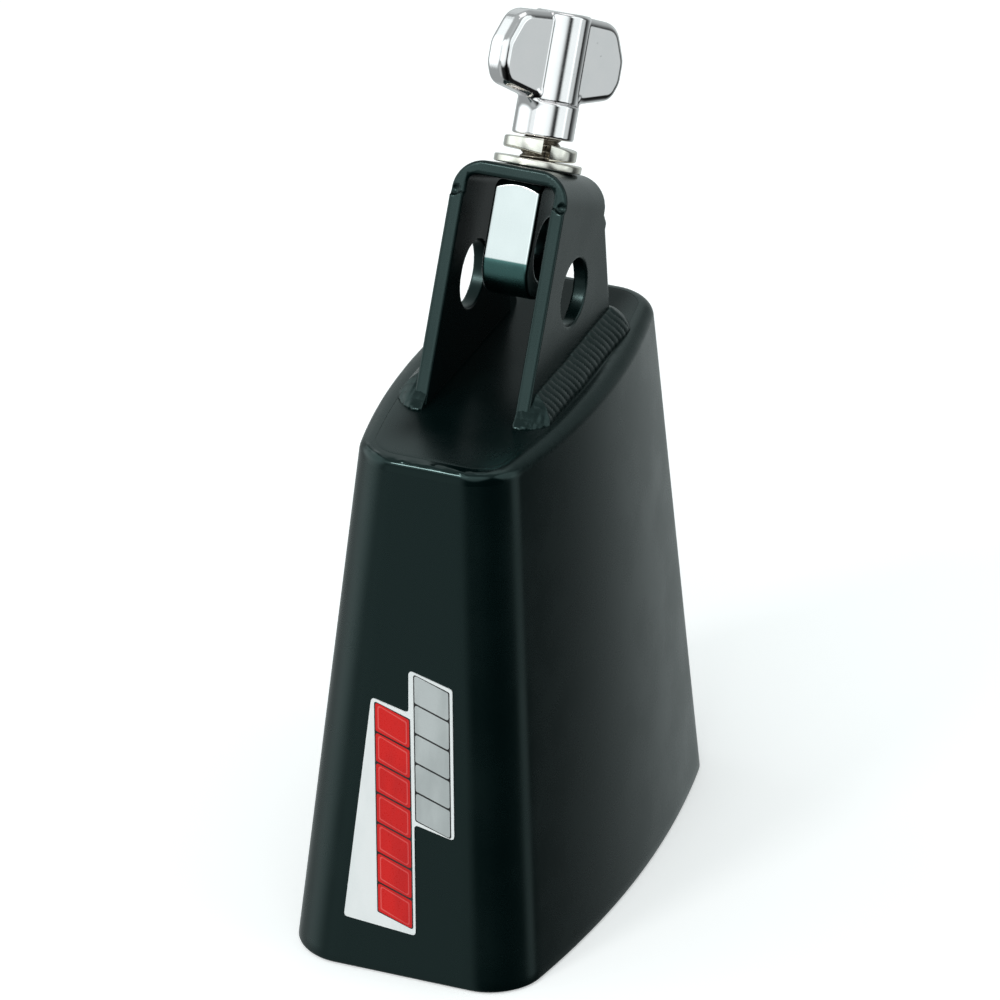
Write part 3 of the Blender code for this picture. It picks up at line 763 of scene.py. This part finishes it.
def build_back_seam(finish):
    """Rippled weld bead down the middle of the back face."""
    low = SEAM_MARGIN
    high = BELL_HEIGHT - CAP_EDGE_HEIGHT - SEAM_MARGIN
    count = 420
    arc_steps = 12
    rings = []
    for step in range(count + 1):
        share = step / count
        height = low + (high - low) * share
        ends = min(1.0, 0.3 + 8.0 * min(share, 1 - share))
        back = section(height)[2]
        ring = []
        for part in range(arc_steps + 1):
            angle = math.pi * part / arc_steps
            place = height / SEAM_PITCH + 0.35 * math.sin(angle)
            scale = abs(math.sin(math.pi * place)) ** 0.7
            half = SEAM_HALF_WIDTH * ends * (0.94 + 0.08 * scale)
            rise = SEAM_CROWN * ends * (0.75 + 0.3 * scale) * math.sin(angle)
            ring.append((half * math.cos(angle), back - SEAM_SINK + rise, height))
        rings.append(ring)
    points, faces = loft(rings)
    add_piece("body_seam_bead", points, faces, finish, "bell", ("shell_seam_weld",))


# ------------ bracket and its welds

def strap(points):
    """The bent strap before its sides are trimmed, in the bracket frame."""
    x = np.abs(points[:, 0])
    z = points[:, 2]
    outer = rounded_quadrant(x - LEG_OUTSIDE, z, BRACKET_BEND)
    inner = rounded_quadrant(x - LEG_INSIDE, z + BRACKET_THICK, BRACKET_INNER_BEND)
    return np.maximum(outer, -inner)


def leg_profile():
    """Side view of the strap, as (y, z) in the bracket frame."""
    foot = -BRACKET_TOP_HEIGHT + WELD_GAP / LEAN_COS
    front = (-LEG_FRONT, foot - LEG_FRONT * LEAN_RISE)
    back_y = LEG_BACK_FROM_AXIS * LEAN_COS
    back = (back_y, foot + back_y * LEAN_RISE)
    return [
        (-PLATE_FRONT, 0.6),
        (-PLATE_FRONT, -RELIEF_DROP),
        (-LEG_FRONT, -RELIEF_DROP - 0.5),
        front,
        back,
        (LEG_BACK, -RELIEF_DROP - 3.0),
        (LEG_BACK, -RELIEF_DROP - 1.6),
        (PLATE_BACK, -RELIEF_DROP),
        (PLATE_BACK, 0.6),
    ]


LEG_OUTLINE = leg_profile()


def bracket_shape(points):
    """The strap with trimmed sides, rounded edges, holes and relief dimples."""
    x = np.abs(points[:, 0])
    y = points[:, 1]
    z = points[:, 2]
    side = polygon(LEG_OUTLINE, y, z)
    shape = both(strap(points), side, BRACKET_EDGE)
    rod = ROD_HOLE_DIA / 2 - np.hypot(y, z + ROD_HOLE_DROP)
    shape = both(shape, rod, 0.4)
    bolt = BOLT_HOLE_DIA / 2 - np.hypot(x, y)
    shape = both(shape, bolt, 0.3)
    place = (LEG_OUTSIDE - 0.9, -PLATE_FRONT - 0.55, -RELIEF_DROP + 0.1)
    away = np.sqrt((x - place[0]) ** 2 + (y - place[1]) ** 2 + (z - place[2]) ** 2)
    return both(shape, DIMPLE_RADIUS - away, 0.2)


def build_bracket(finish):
    """Bent strap, in the bracket frame."""
    low = (-LEG_OUTSIDE - 1, -LEG_FRONT - 1.2, -BRACKET_TOP_HEIGHT - 10)
    high = (LEG_OUTSIDE + 1, LEG_BACK_FROM_AXIS * LEAN_COS + 1.2, 1.2)
    carve(
        "bracket_strap", bracket_shape, low, high, BRACKET_STEP,
        finish, "bell", ("mount_bracket",), True,
    )


def leg_weld_shape(side):
    """Rippled fillet round the outside of one leg's foot, in the bell frame."""
    def shape(points):
        local = to_bracket(points)
        reach = both(strap(local), polygon(LEG_OUTLINE, local[:, 1], local[:, 2]), 0.8)
        wall = np.maximum(reach, 0.0)
        up = points[:, 2] - BELL_HEIGHT
        x = points[:, 0] * side
        y = points[:, 1]
        along = y + 0.30 * np.clip(up, 0, LEG_WELD_HEIGHT) ** 1.3
        crest = np.abs(np.sin(math.pi * along / LEG_WELD_PITCH)) ** 0.7
        uneven = ripple(y / 4.1, y / 7.3) + 0.4 * ripple(y / 1.3 + up, x / 0.9 - up)
        # The fillet shrinks to a small lumpy toe in front of the leg.
        ahead = LEG_FOOT_FRONT + LEAN_RISE * up - y
        body = 1.0 - LEG_TOE_SHRINK * np.clip(ahead / LEG_TOE_LENGTH + 0.75, 0.0, 1.0)
        uneven = uneven + 5.0 * (1.0 - body) * ripple(2.4 * x + up, 1.9 * y - 2.2 * up)
        # The power below hollows the fillet, so it starts a little larger than its size.
        width = 1.18 * LEG_WELD_WIDTH * body * (0.97 + 0.024 * crest + 0.05 * uneven)
        height = 1.22 * LEG_WELD_HEIGHT * body * (0.97 + 0.018 * crest - 0.05 * uneven)
        across = (wall / width) ** LEG_WELD_POWER
        above = (np.maximum(up, 0.0) / height) ** LEG_WELD_POWER
        bead = ((across + above) ** (1 / LEG_WELD_POWER) - 1.0) * 3.0
        bead = both(bead, LEG_INSIDE + 0.3 - x, 0.8)
        return both(bead, -up - LEG_WELD_SINK)
    return shape


def build_leg_welds(finish):
    """The welds that hold the bracket on the cap."""
    for name, node, side in (
        ("leg_weld_right", "bracket_weld_right", 1),
        ("leg_weld_left", "bracket_weld_left", -1),
    ):
        ends = sorted((side * LEG_INSIDE, side * (LEG_OUTSIDE + LEG_WELD_WIDTH + 1.6)))
        front = LEG_FOOT_FRONT - LEG_WELD_WIDTH - 1.2
        back = AXIS_Y + LEG_BACK_FROM_AXIS + LEG_WELD_WIDTH + 1.8
        low = (ends[0], front, BELL_HEIGHT - 0.8)
        high = (ends[1], back, BELL_HEIGHT + LEG_WELD_HEIGHT + 2.0)
        item = carve(name, leg_weld_shape(side), low, high, LEG_WELD_STEP, finish, "bell", (node,))
        add_gloss(item, LEG_FOOT_FRONT - 0.4)


# ------------ hardware

def eye_shape(points):
    """The flat-sided eye with its turned shoulder and hole, in the bracket frame."""
    x = np.abs(points[:, 0])
    y = points[:, 1]
    z = points[:, 2]
    outline = rounded_quadrant(np.abs(y) - EYE_DEPTH / 2, -z - EYE_BOTTOM_DROP, EYE_CORNER)
    shape = both(outline, z - EYE_TOP, 0.3)
    shape = both(shape, x - EYE_WIDTH / 2, 0.7)
    around = np.hypot(points[:, 0], y)
    cone = (around + z - EYE_TURNED_DIA / 2 - EYE_TOP) / math.sqrt(2)
    shape = both(shape, cone, 0.25)
    hole = EYE_HOLE_DIA / 2 - np.hypot(y, z + EYE_REST_DROP)
    return both(shape, hole, 0.6)


def thread_rings():
    """Rings of the threaded shank, from inside the eye to its chamfered end."""
    count = 64
    step = 0.13
    low = EYE_TOP - 1.0
    turn = 2 * math.pi * np.arange(count) / count
    rings = []
    for index in range(int((SHANK_END - low) / step) + 1):
        height = low + step * index
        phase = (height / THREAD_PITCH - turn / (2 * math.pi)) % 1.0
        groove = np.clip(1.0 - np.abs(phase - 0.5) * 2.6, 0.0, 1.0)
        radius = SHANK_DIA / 2 - THREAD_DEPTH * groove
        taper = SHANK_DIA / 2 - max(0.0, height - SHANK_END + 0.9)
        radius = np.minimum(radius, taper)
        rings.append(np.stack((
            radius * np.cos(turn), radius * np.sin(turn), np.full(count, height)
        ), axis=1))
    return rings


def build_eye_bolt(eye_finish, thread_finish):
    """Eye with its threaded shank."""
    half = EYE_WIDTH / 2
    low = (-half - 1, -EYE_DEPTH / 2 - 1, -EYE_BOTTOM_DROP - 1)
    high = (half + 1, EYE_DEPTH / 2 + 1, EYE_TOP + 1)
    carve("bolt_eye", eye_shape, low, high, EYE_STEP, eye_finish, "eye_bolt", ("eye_bolt",), True)
    points, faces = loft(thread_rings())
    item = add_piece("bolt_thread", points, faces, thread_finish, "eye_bolt", (), True)
    sharpen(item, 60)


def washer_section(inner, outer, low, high, edge):
    """Rounded rectangle of a washer's section, as (radius, height)."""
    section_points = []
    for centre_r, centre_z, start in (
        (outer - edge, low + edge, -90), (outer - edge, high - edge, 0),
        (inner + edge, high - edge, 90), (inner + edge, low + edge, 180),
    ):
        for step in range(5):
            angle = math.radians(start + 22.5 * step)
            section_points.append((
                centre_r + edge * math.cos(angle), centre_z + edge * math.sin(angle)
            ))
    return section_points


def sweep(section_at, start, turn, rise, count):
    """Sweep a section, given at each share of the turn, round the bolt axis as it rises."""
    rings = []
    for step in range(count + 1):
        share = step / count
        angle = start + turn * share
        rings.append([
            (radius * math.cos(angle), radius * math.sin(angle), height + rise * share)
            for radius, height in section_at(share)
        ])
    return rings


def build_washers(finish):
    """Flat washer and split spring washer."""
    flat = washer_section(
        WASHER_INNER_DIA / 2, WASHER_OUTER_DIA / 2, WASHER_BASE, WASHER_BASE + WASHER_THICK, 0.32
    )
    rings = sweep(lambda share: flat, 0.0, 2 * math.pi, 0.0, 96)[:-1]
    points, faces = loft(rings, closed=True)
    add_piece("washer_flat", points, faces, finish, "flat_washer", ("flat_washer",), True)

    def split_section(share):
        """Section of the spring washer, growing into a nose at each end."""
        up = SPRING_NOSE * max(0.0, 1 - share / SPRING_NOSE_SHARE)
        down = SPRING_NOSE * max(0.0, 1 - (1 - share) / SPRING_NOSE_SHARE)
        return washer_section(
            SPRING_INNER_DIA / 2, SPRING_OUTER_DIA / 2,
            SPRING_BASE - down, SPRING_BASE + SPRING_THICK + up, 0.45,
        )

    middle = (SPRING_OUTER_DIA + SPRING_INNER_DIA) / 4
    gap = SPRING_SPLIT / middle
    start = SPRING_SPLIT_ANGLE + gap / 2
    rings = sweep(split_section, start, 2 * math.pi - gap, SPRING_RISE, 110)
    points, faces = loft(rings)
    item = add_piece("washer_spring", points, faces, finish, "wing_nut", ("spring_washer",), True)
    sharpen(item, 55)


def round_corners(corners, radius, steps=5):
    """Replace each corner of a closed outline with a short arc."""
    result = []
    count = len(corners)
    for index, corner in enumerate(corners):
        here = Vector(corner)
        towards = Vector(corners[index - 1]) - here
        onwards = Vector(corners[(index + 1) % count]) - here
        half = towards.angle(onwards) / 2
        back = min(radius / math.tan(half), 0.45 * towards.length, 0.45 * onwards.length)
        start = here + towards.normalized() * back
        end = here + onwards.normalized() * back
        for step in range(steps + 1):
            share = step / steps
            result.append(
                start * (1 - share) ** 2 + here * 2 * share * (1 - share) + end * share ** 2
            )
    return [tuple(point) for point in result]


def wing_outline():
    """Both wings in one outline, as (u, v) across and up the nut."""
    tip = WING_SPAN / 2
    right = [
        (WING_ROOT, WING_ROOT_BOTTOM),
        (tip - WING_LOW_CUT / 2, WING_TIP_BOTTOM),
        (tip, WING_TIP_BOTTOM + WING_LOW_CUT),
        (tip, WING_TIP_TOP - WING_HIGH_CUT),
        (tip - WING_HIGH_CUT / 2, WING_TIP_TOP),
        (WING_ROOT, WING_ROOT_TOP),
    ]
    left = [(-u, v) for u, v in reversed(right)]
    return round_corners(right + left, WING_CORNER, 8)


WING_OUTLINE = wing_outline()


def nut_shape(points):
    """Cast wing nut in the bracket frame: hub, barrel, two wings and a bore."""
    x = points[:, 0]
    y = points[:, 1]
    v = points[:, 2] - NUT_BASE
    u = x * math.cos(WING_TURN) + y * math.sin(WING_TURN)
    w = -x * math.sin(WING_TURN) + y * math.cos(WING_TURN)
    around = np.hypot(x, y)
    barrel = both(around - NUT_BARREL_DIA / 2, v - NUT_HEIGHT, 0.8)
    barrel = both(barrel, NUT_HUB_HEIGHT - v, 0.4)
    wings = both(polygon(WING_OUTLINE, u, v), np.abs(w) - WING_THICK / 2, WING_EDGE)
    hub = both(around - NUT_HUB_DIA / 2, -v, 0.5)
    hub = both(hub, v - NUT_HUB_HEIGHT + 0.1, 0.4)
    core = both(around - NUT_HUB_DIA / 2 + 1.0, np.abs(v - NUT_HUB_HEIGHT) - 3.0)
    column = either(either(barrel, core), hub)
    # The broad fillet runs only under the wings, outside the hub.
    crisp = either(column, wings, 0.4)
    blended = either(column, wings, WING_FILLET)
    share = np.clip((np.abs(u) - 4.4) / 1.6, 0.0, 1.0) * np.clip((9.8 - v) / 2.6, 0.0, 1.0)
    body = crisp + (blended - crisp) * share
    bore = NUT_BORE_DIA / 2 - around
    return both(body, bore, 0.5)


def build_wing_nut(finish):
    """The chromed wing nut."""
    reach = WING_SPAN / 2 + 1
    across = reach * abs(math.cos(WING_TURN)) + 4.0
    deep = reach * abs(math.sin(WING_TURN)) + 3.0
    low = (-across, -deep, NUT_BASE - 1)
    high = (across, deep, NUT_BASE + NUT_HEIGHT + 1)
    carve("nut_wings", nut_shape, low, high, NUT_STEP, finish, "wing_nut", ("wing_nut",), True)


# ------------ label

def front_face(x, z):
    """Y of the body's outside on the label side."""
    half, front, _, corner = section(z)
    past = abs(x) - (half - corner)
    if past <= 0:
        return front
    return front + corner - math.sqrt(max(corner ** 2 - past ** 2, 0.0))


def band_left(left, height):
    """Left edge of a slanted band at a height."""
    return left - LABEL_SLANT * (height - LOWER_BAND_TOP)


def label_outline():
    """Outline of the label film as (x, z) on the front face."""
    upper_right = UPPER_BAND_LEFT + LABEL_BAND_WIDTH + 0.6
    lower_right = LOWER_BAND_LEFT + LABEL_BAND_WIDTH
    rise = LABEL_STEP
    return [
        (band_left(UPPER_BAND_LEFT, UPPER_BAND_TOP), UPPER_BAND_TOP + rise / 2),
        (band_left(upper_right, UPPER_BAND_TOP), UPPER_BAND_TOP - rise / 2),
        (band_left(upper_right, UPPER_BAND_BOTTOM), UPPER_BAND_BOTTOM - rise / 2),
        (band_left(lower_right, UPPER_BAND_BOTTOM), UPPER_BAND_BOTTOM + rise / 4),
        (band_left(lower_right, LABEL_BOTTOM), LABEL_BOTTOM),
        (band_left(LOWER_BAND_LEFT, LABEL_BOTTOM) - LABEL_TAIL / 2, LABEL_BOTTOM + rise / 2),
        (LOWER_BAND_LEFT, LOWER_BAND_TOP + rise / 2),
        (band_left(UPPER_BAND_LEFT, LOWER_BAND_TOP), LOWER_BAND_TOP - rise / 4),
    ]


def patch(outlines, base, thick):
    """Thin patches following the front face, from flat outlines of (x, z)."""
    points = []
    faces = []
    for outline in outlines:
        start = len(points)
        count = len(outline)
        for x, z in outline:
            points.append((x, front_face(x, z) - base, z))
        for x, z in outline:
            points.append((x, front_face(x, z) - base - thick, z))
        faces.append(tuple(range(start, start + count)))
        faces.append(tuple(reversed(range(start + count, start + 2 * count))))
        for index in range(count):
            after = (index + 1) % count
            faces.append((start + after, start + index, start + count + index, start + count + after))
    return np.array(points), faces


def slanted_blocks(left, low, high, count, margin, gap):
    """A row of slanted blocks filling one band, as outlines."""
    rise = LABEL_STEP
    result = []
    pitch = (high - low) / count
    for index in range(count):
        bottom = low + pitch * index + gap / 2
        top = bottom + pitch - gap
        near = left + margin
        far = left + LABEL_BAND_WIDTH - margin
        result.append([
            (band_left(near, bottom), bottom + rise / 2),
            (band_left(far, bottom), bottom - rise / 2),
            (band_left(far, top), top - rise / 2),
            (band_left(near, top), top + rise / 2),
        ])
    return result


def build_label(film, red, pink, silver, dark):
    """Printed film: a silver band and a red band made of plain slanted blocks."""
    points, faces = patch([round_corners(label_outline(), 0.8)], LABEL_GAP, LABEL_THICK)
    item = add_piece("label_film", points, faces, film, "bell", ("label",))
    sharpen(item, 40)
    silver_band = (UPPER_BAND_LEFT + 0.5, UPPER_BAND_BOTTOM + 0.2, UPPER_BAND_TOP - 0.6)
    red_band = (LOWER_BAND_LEFT + 0.1, LABEL_BOTTOM + 2.4, LOWER_BAND_TOP - 0.6)
    # Ink: band, number of blocks, layer above the film, margin at the sides, gap between blocks.
    layers = (
        ("silver_edge", dark, silver_band, 1, 0, 0.5, 0.0),
        ("silver", silver, silver_band, SILVER_BLOCKS, 1, 0.75, 0.4),
        ("red_edge", dark, red_band, 1, 0, 0.5, 0.0),
        ("red", red, red_band, RED_BLOCKS, 1, 0.75, 0.4),
        ("red_line", pink, red_band, RED_BLOCKS, 2, 1.25, 1.4),
        ("red_middle", red, red_band, RED_BLOCKS, 3, 1.5, 1.9),
    )
    for name, finish, band, count, layer, margin, gap in layers:
        outlines = slanted_blocks(*band, count, margin, gap)
        outlines = [round_corners(outline, 0.5) for outline in outlines]
        base = LABEL_GAP + LABEL_THICK + INK_GAP + INK_THICK * layer
        points, faces = patch(outlines, base, INK_THICK)
        sharpen(add_piece("label_ink_" + name, points, faces, finish, "bell"), 40)


# ------------ studio

# Soft regions of the studio seen in reflections: direction, inner and outer angle in
# degrees and strength.  Flags darken the lights, and panels are added after the flags.
STUDIO_BASE = 0.34
STUDIO_LIGHTS = (
    ((-0.33, -0.80, 0.62), 17, 23, 0.62),
    ((-0.30, -0.92, -0.25), 8, 24, 0.13),
    ((-0.45, 0.80, 0.40), 8, 30, 0.30),
    ((0.0, 0.1, 1.0), 25, 60, 0.10),
    ((0.05, 0.85, -0.50), 20, 60, 0.22),
)
STUDIO_FLAGS = (
    ((0.45, -0.88, -0.25), 22, 46, 0.92),
    ((0.95, -0.10, -0.38), 34, 80, 0.97),
)
STUDIO_PANELS = (
    ((-0.95, -0.20, 0.24), 18, 44, 1.00),
    ((0.25, -0.84, 0.50), 18, 38, 0.90),
    ((0.92, 0.02, 0.34), 22, 31, 1.00),
    ((0.93, 0.29, -0.17), 8, 19, 0.60),
)
STUDIO_TINT = (0.91, 1.0, 1.0, 1)
FLOOR_HALF_SIDE = 6.0


def build_world():
    """Soft studio surroundings made of broad regions, pale where the camera sees them."""
    world = bpy.data.worlds.new("studio")
    bpy.context.scene.world = world
    world.use_nodes = True
    nodes = Nodes(world.node_tree)
    place = nodes.add("ShaderNodeTexCoord").outputs["Generated"]
    total = STUDIO_BASE

    def region(direction, inner, outer):
        node = nodes.add("ShaderNodeVectorMath", operation="DOT_PRODUCT")
        nodes.put(node.inputs[0], place)
        node.inputs[1].default_value = Vector(direction).normalized()
        return nodes.ramp(
            node.outputs["Value"], math.cos(math.radians(outer)), math.cos(math.radians(inner))
        )

    for direction, inner, outer, strength in STUDIO_LIGHTS:
        total = nodes.math("MULTIPLY_ADD", region(direction, inner, outer), strength, total)
    for direction, inner, outer, depth in STUDIO_FLAGS:
        keep = nodes.math("MULTIPLY_ADD", region(direction, inner, outer), -depth, 1.0)
        total = nodes.math("MULTIPLY", total, keep)
    for direction, inner, outer, strength in STUDIO_PANELS:
        total = nodes.math("MULTIPLY_ADD", region(direction, inner, outer), strength, total)
    seen = nodes.add("ShaderNodeLightPath").outputs["Is Camera Ray"]
    total = nodes.math("MULTIPLY_ADD", total, nodes.math("SUBTRACT", 1.0, seen), seen)
    background = world.node_tree.nodes["Background"]
    nodes.put(background.inputs["Color"], nodes.mix(seen, STUDIO_TINT, (1, 1, 1, 1)))
    nodes.put(background.inputs["Strength"], total)


def add_area(name, place, target, size, power):
    """A soft square lamp aimed at a point."""
    lamp = bpy.data.lights.new(name, "AREA")
    lamp.shape = "SQUARE"
    lamp.size = size
    lamp.energy = power
    item = bpy.data.objects.new(name, lamp)
    bpy.context.scene.collection.objects.link(item)
    item.location = place
    item.rotation_euler = (Vector(target) - Vector(place)).to_track_quat("-Z", "Y").to_euler()
    return item


def build_floor():
    """Plain pale floor, kept out of reflections, which come from the studio regions."""
    made, nodes, shader = new_material("floor_pale")
    cloud = nodes.add("ShaderNodeTexNoise", {"Scale": 3.0, "Detail": 2.0}).outputs["Fac"]
    tone = nodes.mix(cloud, (0.90, 0.90, 0.90, 1), (0.93, 0.93, 0.93, 1))
    nodes.put(shader.inputs["Base Color"], tone)
    shader.inputs["Roughness"].default_value = 0.9
    shader.inputs["Specular IOR Level"].default_value = 0.0
    shader.inputs["Emission Color"].default_value = (1, 1, 1, 1)
    shader.inputs["Emission Strength"].default_value = 0.35
    mesh = bpy.data.meshes.new("floor")
    side = FLOOR_HALF_SIDE
    corners = [(-side, -side, 0.0), (side, -side, 0.0), (side, side, 0.0), (-side, side, 0.0)]
    mesh.from_pydata(corners, [], [(0, 1, 2, 3)])
    mesh.materials.append(made)
    floor = bpy.data.objects.new("floor", mesh)
    bpy.context.scene.collection.objects.link(floor)
    floor.location.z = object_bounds()[0].z - 0.0002
    floor.visible_glossy = False
    floor.visible_diffuse = False


def build_camera():
    """Camera at the reference viewing angle."""
    azimuth = math.radians(CAMERA_AZIMUTH)
    elevation = math.radians(CAMERA_ELEVATION)
    back = Vector((
        math.sin(azimuth) * math.cos(elevation),
        -math.cos(azimuth) * math.cos(elevation),
        math.sin(elevation),
    ))
    data = bpy.data.cameras.new("camera")
    data.lens = CAMERA_LENS
    data.sensor_width = 36.0
    data.clip_start = 0.05
    data.clip_end = 30.0
    item = bpy.data.objects.new("camera", data)
    bpy.context.scene.collection.objects.link(item)
    item.location = Vector(CAMERA_TARGET) + back * CAMERA_DISTANCE
    item.rotation_euler = (-back).to_track_quat("-Z", "Y").to_euler()
    bpy.context.scene.camera = item


def build_scene():
    """Build every piece, the studio and the camera."""
    paint = paint_material("powder_coat_black", COAT_ROUGHNESS)
    # The cap and the bracket get painted shade, a lower specular level where the bracket shades them.
    cap_paint = paint_material("powder_coat_cap", COAT_ROUGHNESS, 0.0, shade_under_bracket)
    bracket_paint = paint_material("powder_coat_bracket", COAT_ROUGHNESS, 0.0, shade_inside_bracket)
    weld_paint = paint_material("powder_coat_on_weld", WELD_COAT_ROUGHNESS, 0.06)
    chrome = metal_material(
        "chrome_cast", (0.96, 0.92, 0.93), (0.90, 0.88, 0.89), 0.09, 6.0, None, 0.004, 0.12
    )
    nickel = metal_material(
        "nickel_washer", (0.90, 0.87, 0.80), (0.74, 0.69, 0.61), 0.20, 2.5, (0.4, 0.4, 2.0), 0.010
    )
    zinc = eye_material("zinc_blue")
    oiled = metal_material(
        "steel_oiled", (0.30, 0.27, 0.23), (0.20, 0.18, 0.15), 0.30, 3.0, None, 0.006
    )
    film = film_material("film_white", (0.90, 0.91, 0.91), (0.84, 0.86, 0.86), 0.0, 0.32)
    red = film_material("ink_red", (0.72, 0.012, 0.010), (0.60, 0.010, 0.010), 0.0, 0.30)
    pink = film_material("ink_red_line", (0.80, 0.10, 0.09), (0.72, 0.07, 0.07), 0.0, 0.30)
    silver = film_material("ink_silver", (0.50, 0.53, 0.53), (0.62, 0.65, 0.65), 0.25, 0.34)
    dark = film_material("ink_black", (0.012, 0.012, 0.012), (0.03, 0.03, 0.03), 0.0, 0.35)
    build_body(paint)
    build_cap(cap_paint)
    build_cap_weld(weld_paint)
    build_back_seam(weld_paint)
    build_bracket(bracket_paint)
    build_leg_welds(weld_paint)
    build_eye_bolt(zinc, oiled)
    build_washers(nickel)
    build_wing_nut(chrome)
    build_label(film, red, pink, silver, dark)
    build_world()
    add_area("lamp_key", (-0.7, -1.5, 1.5), (0, 0, 0.12), 0.35, 7.0)
    add_area("lamp_top", (0.4, 0.5, 1.8), (0, 0, 0.1), 1.2, 3.0)
    add_area("lamp_front", (0.1, -2.0, 0.5), (0, 0, 0.08), 1.0, 9.0).visible_glossy = False
    build_floor()
    build_camera()
    bpy.context.scene.view_settings.view_transform = "Standard"


build_scene()
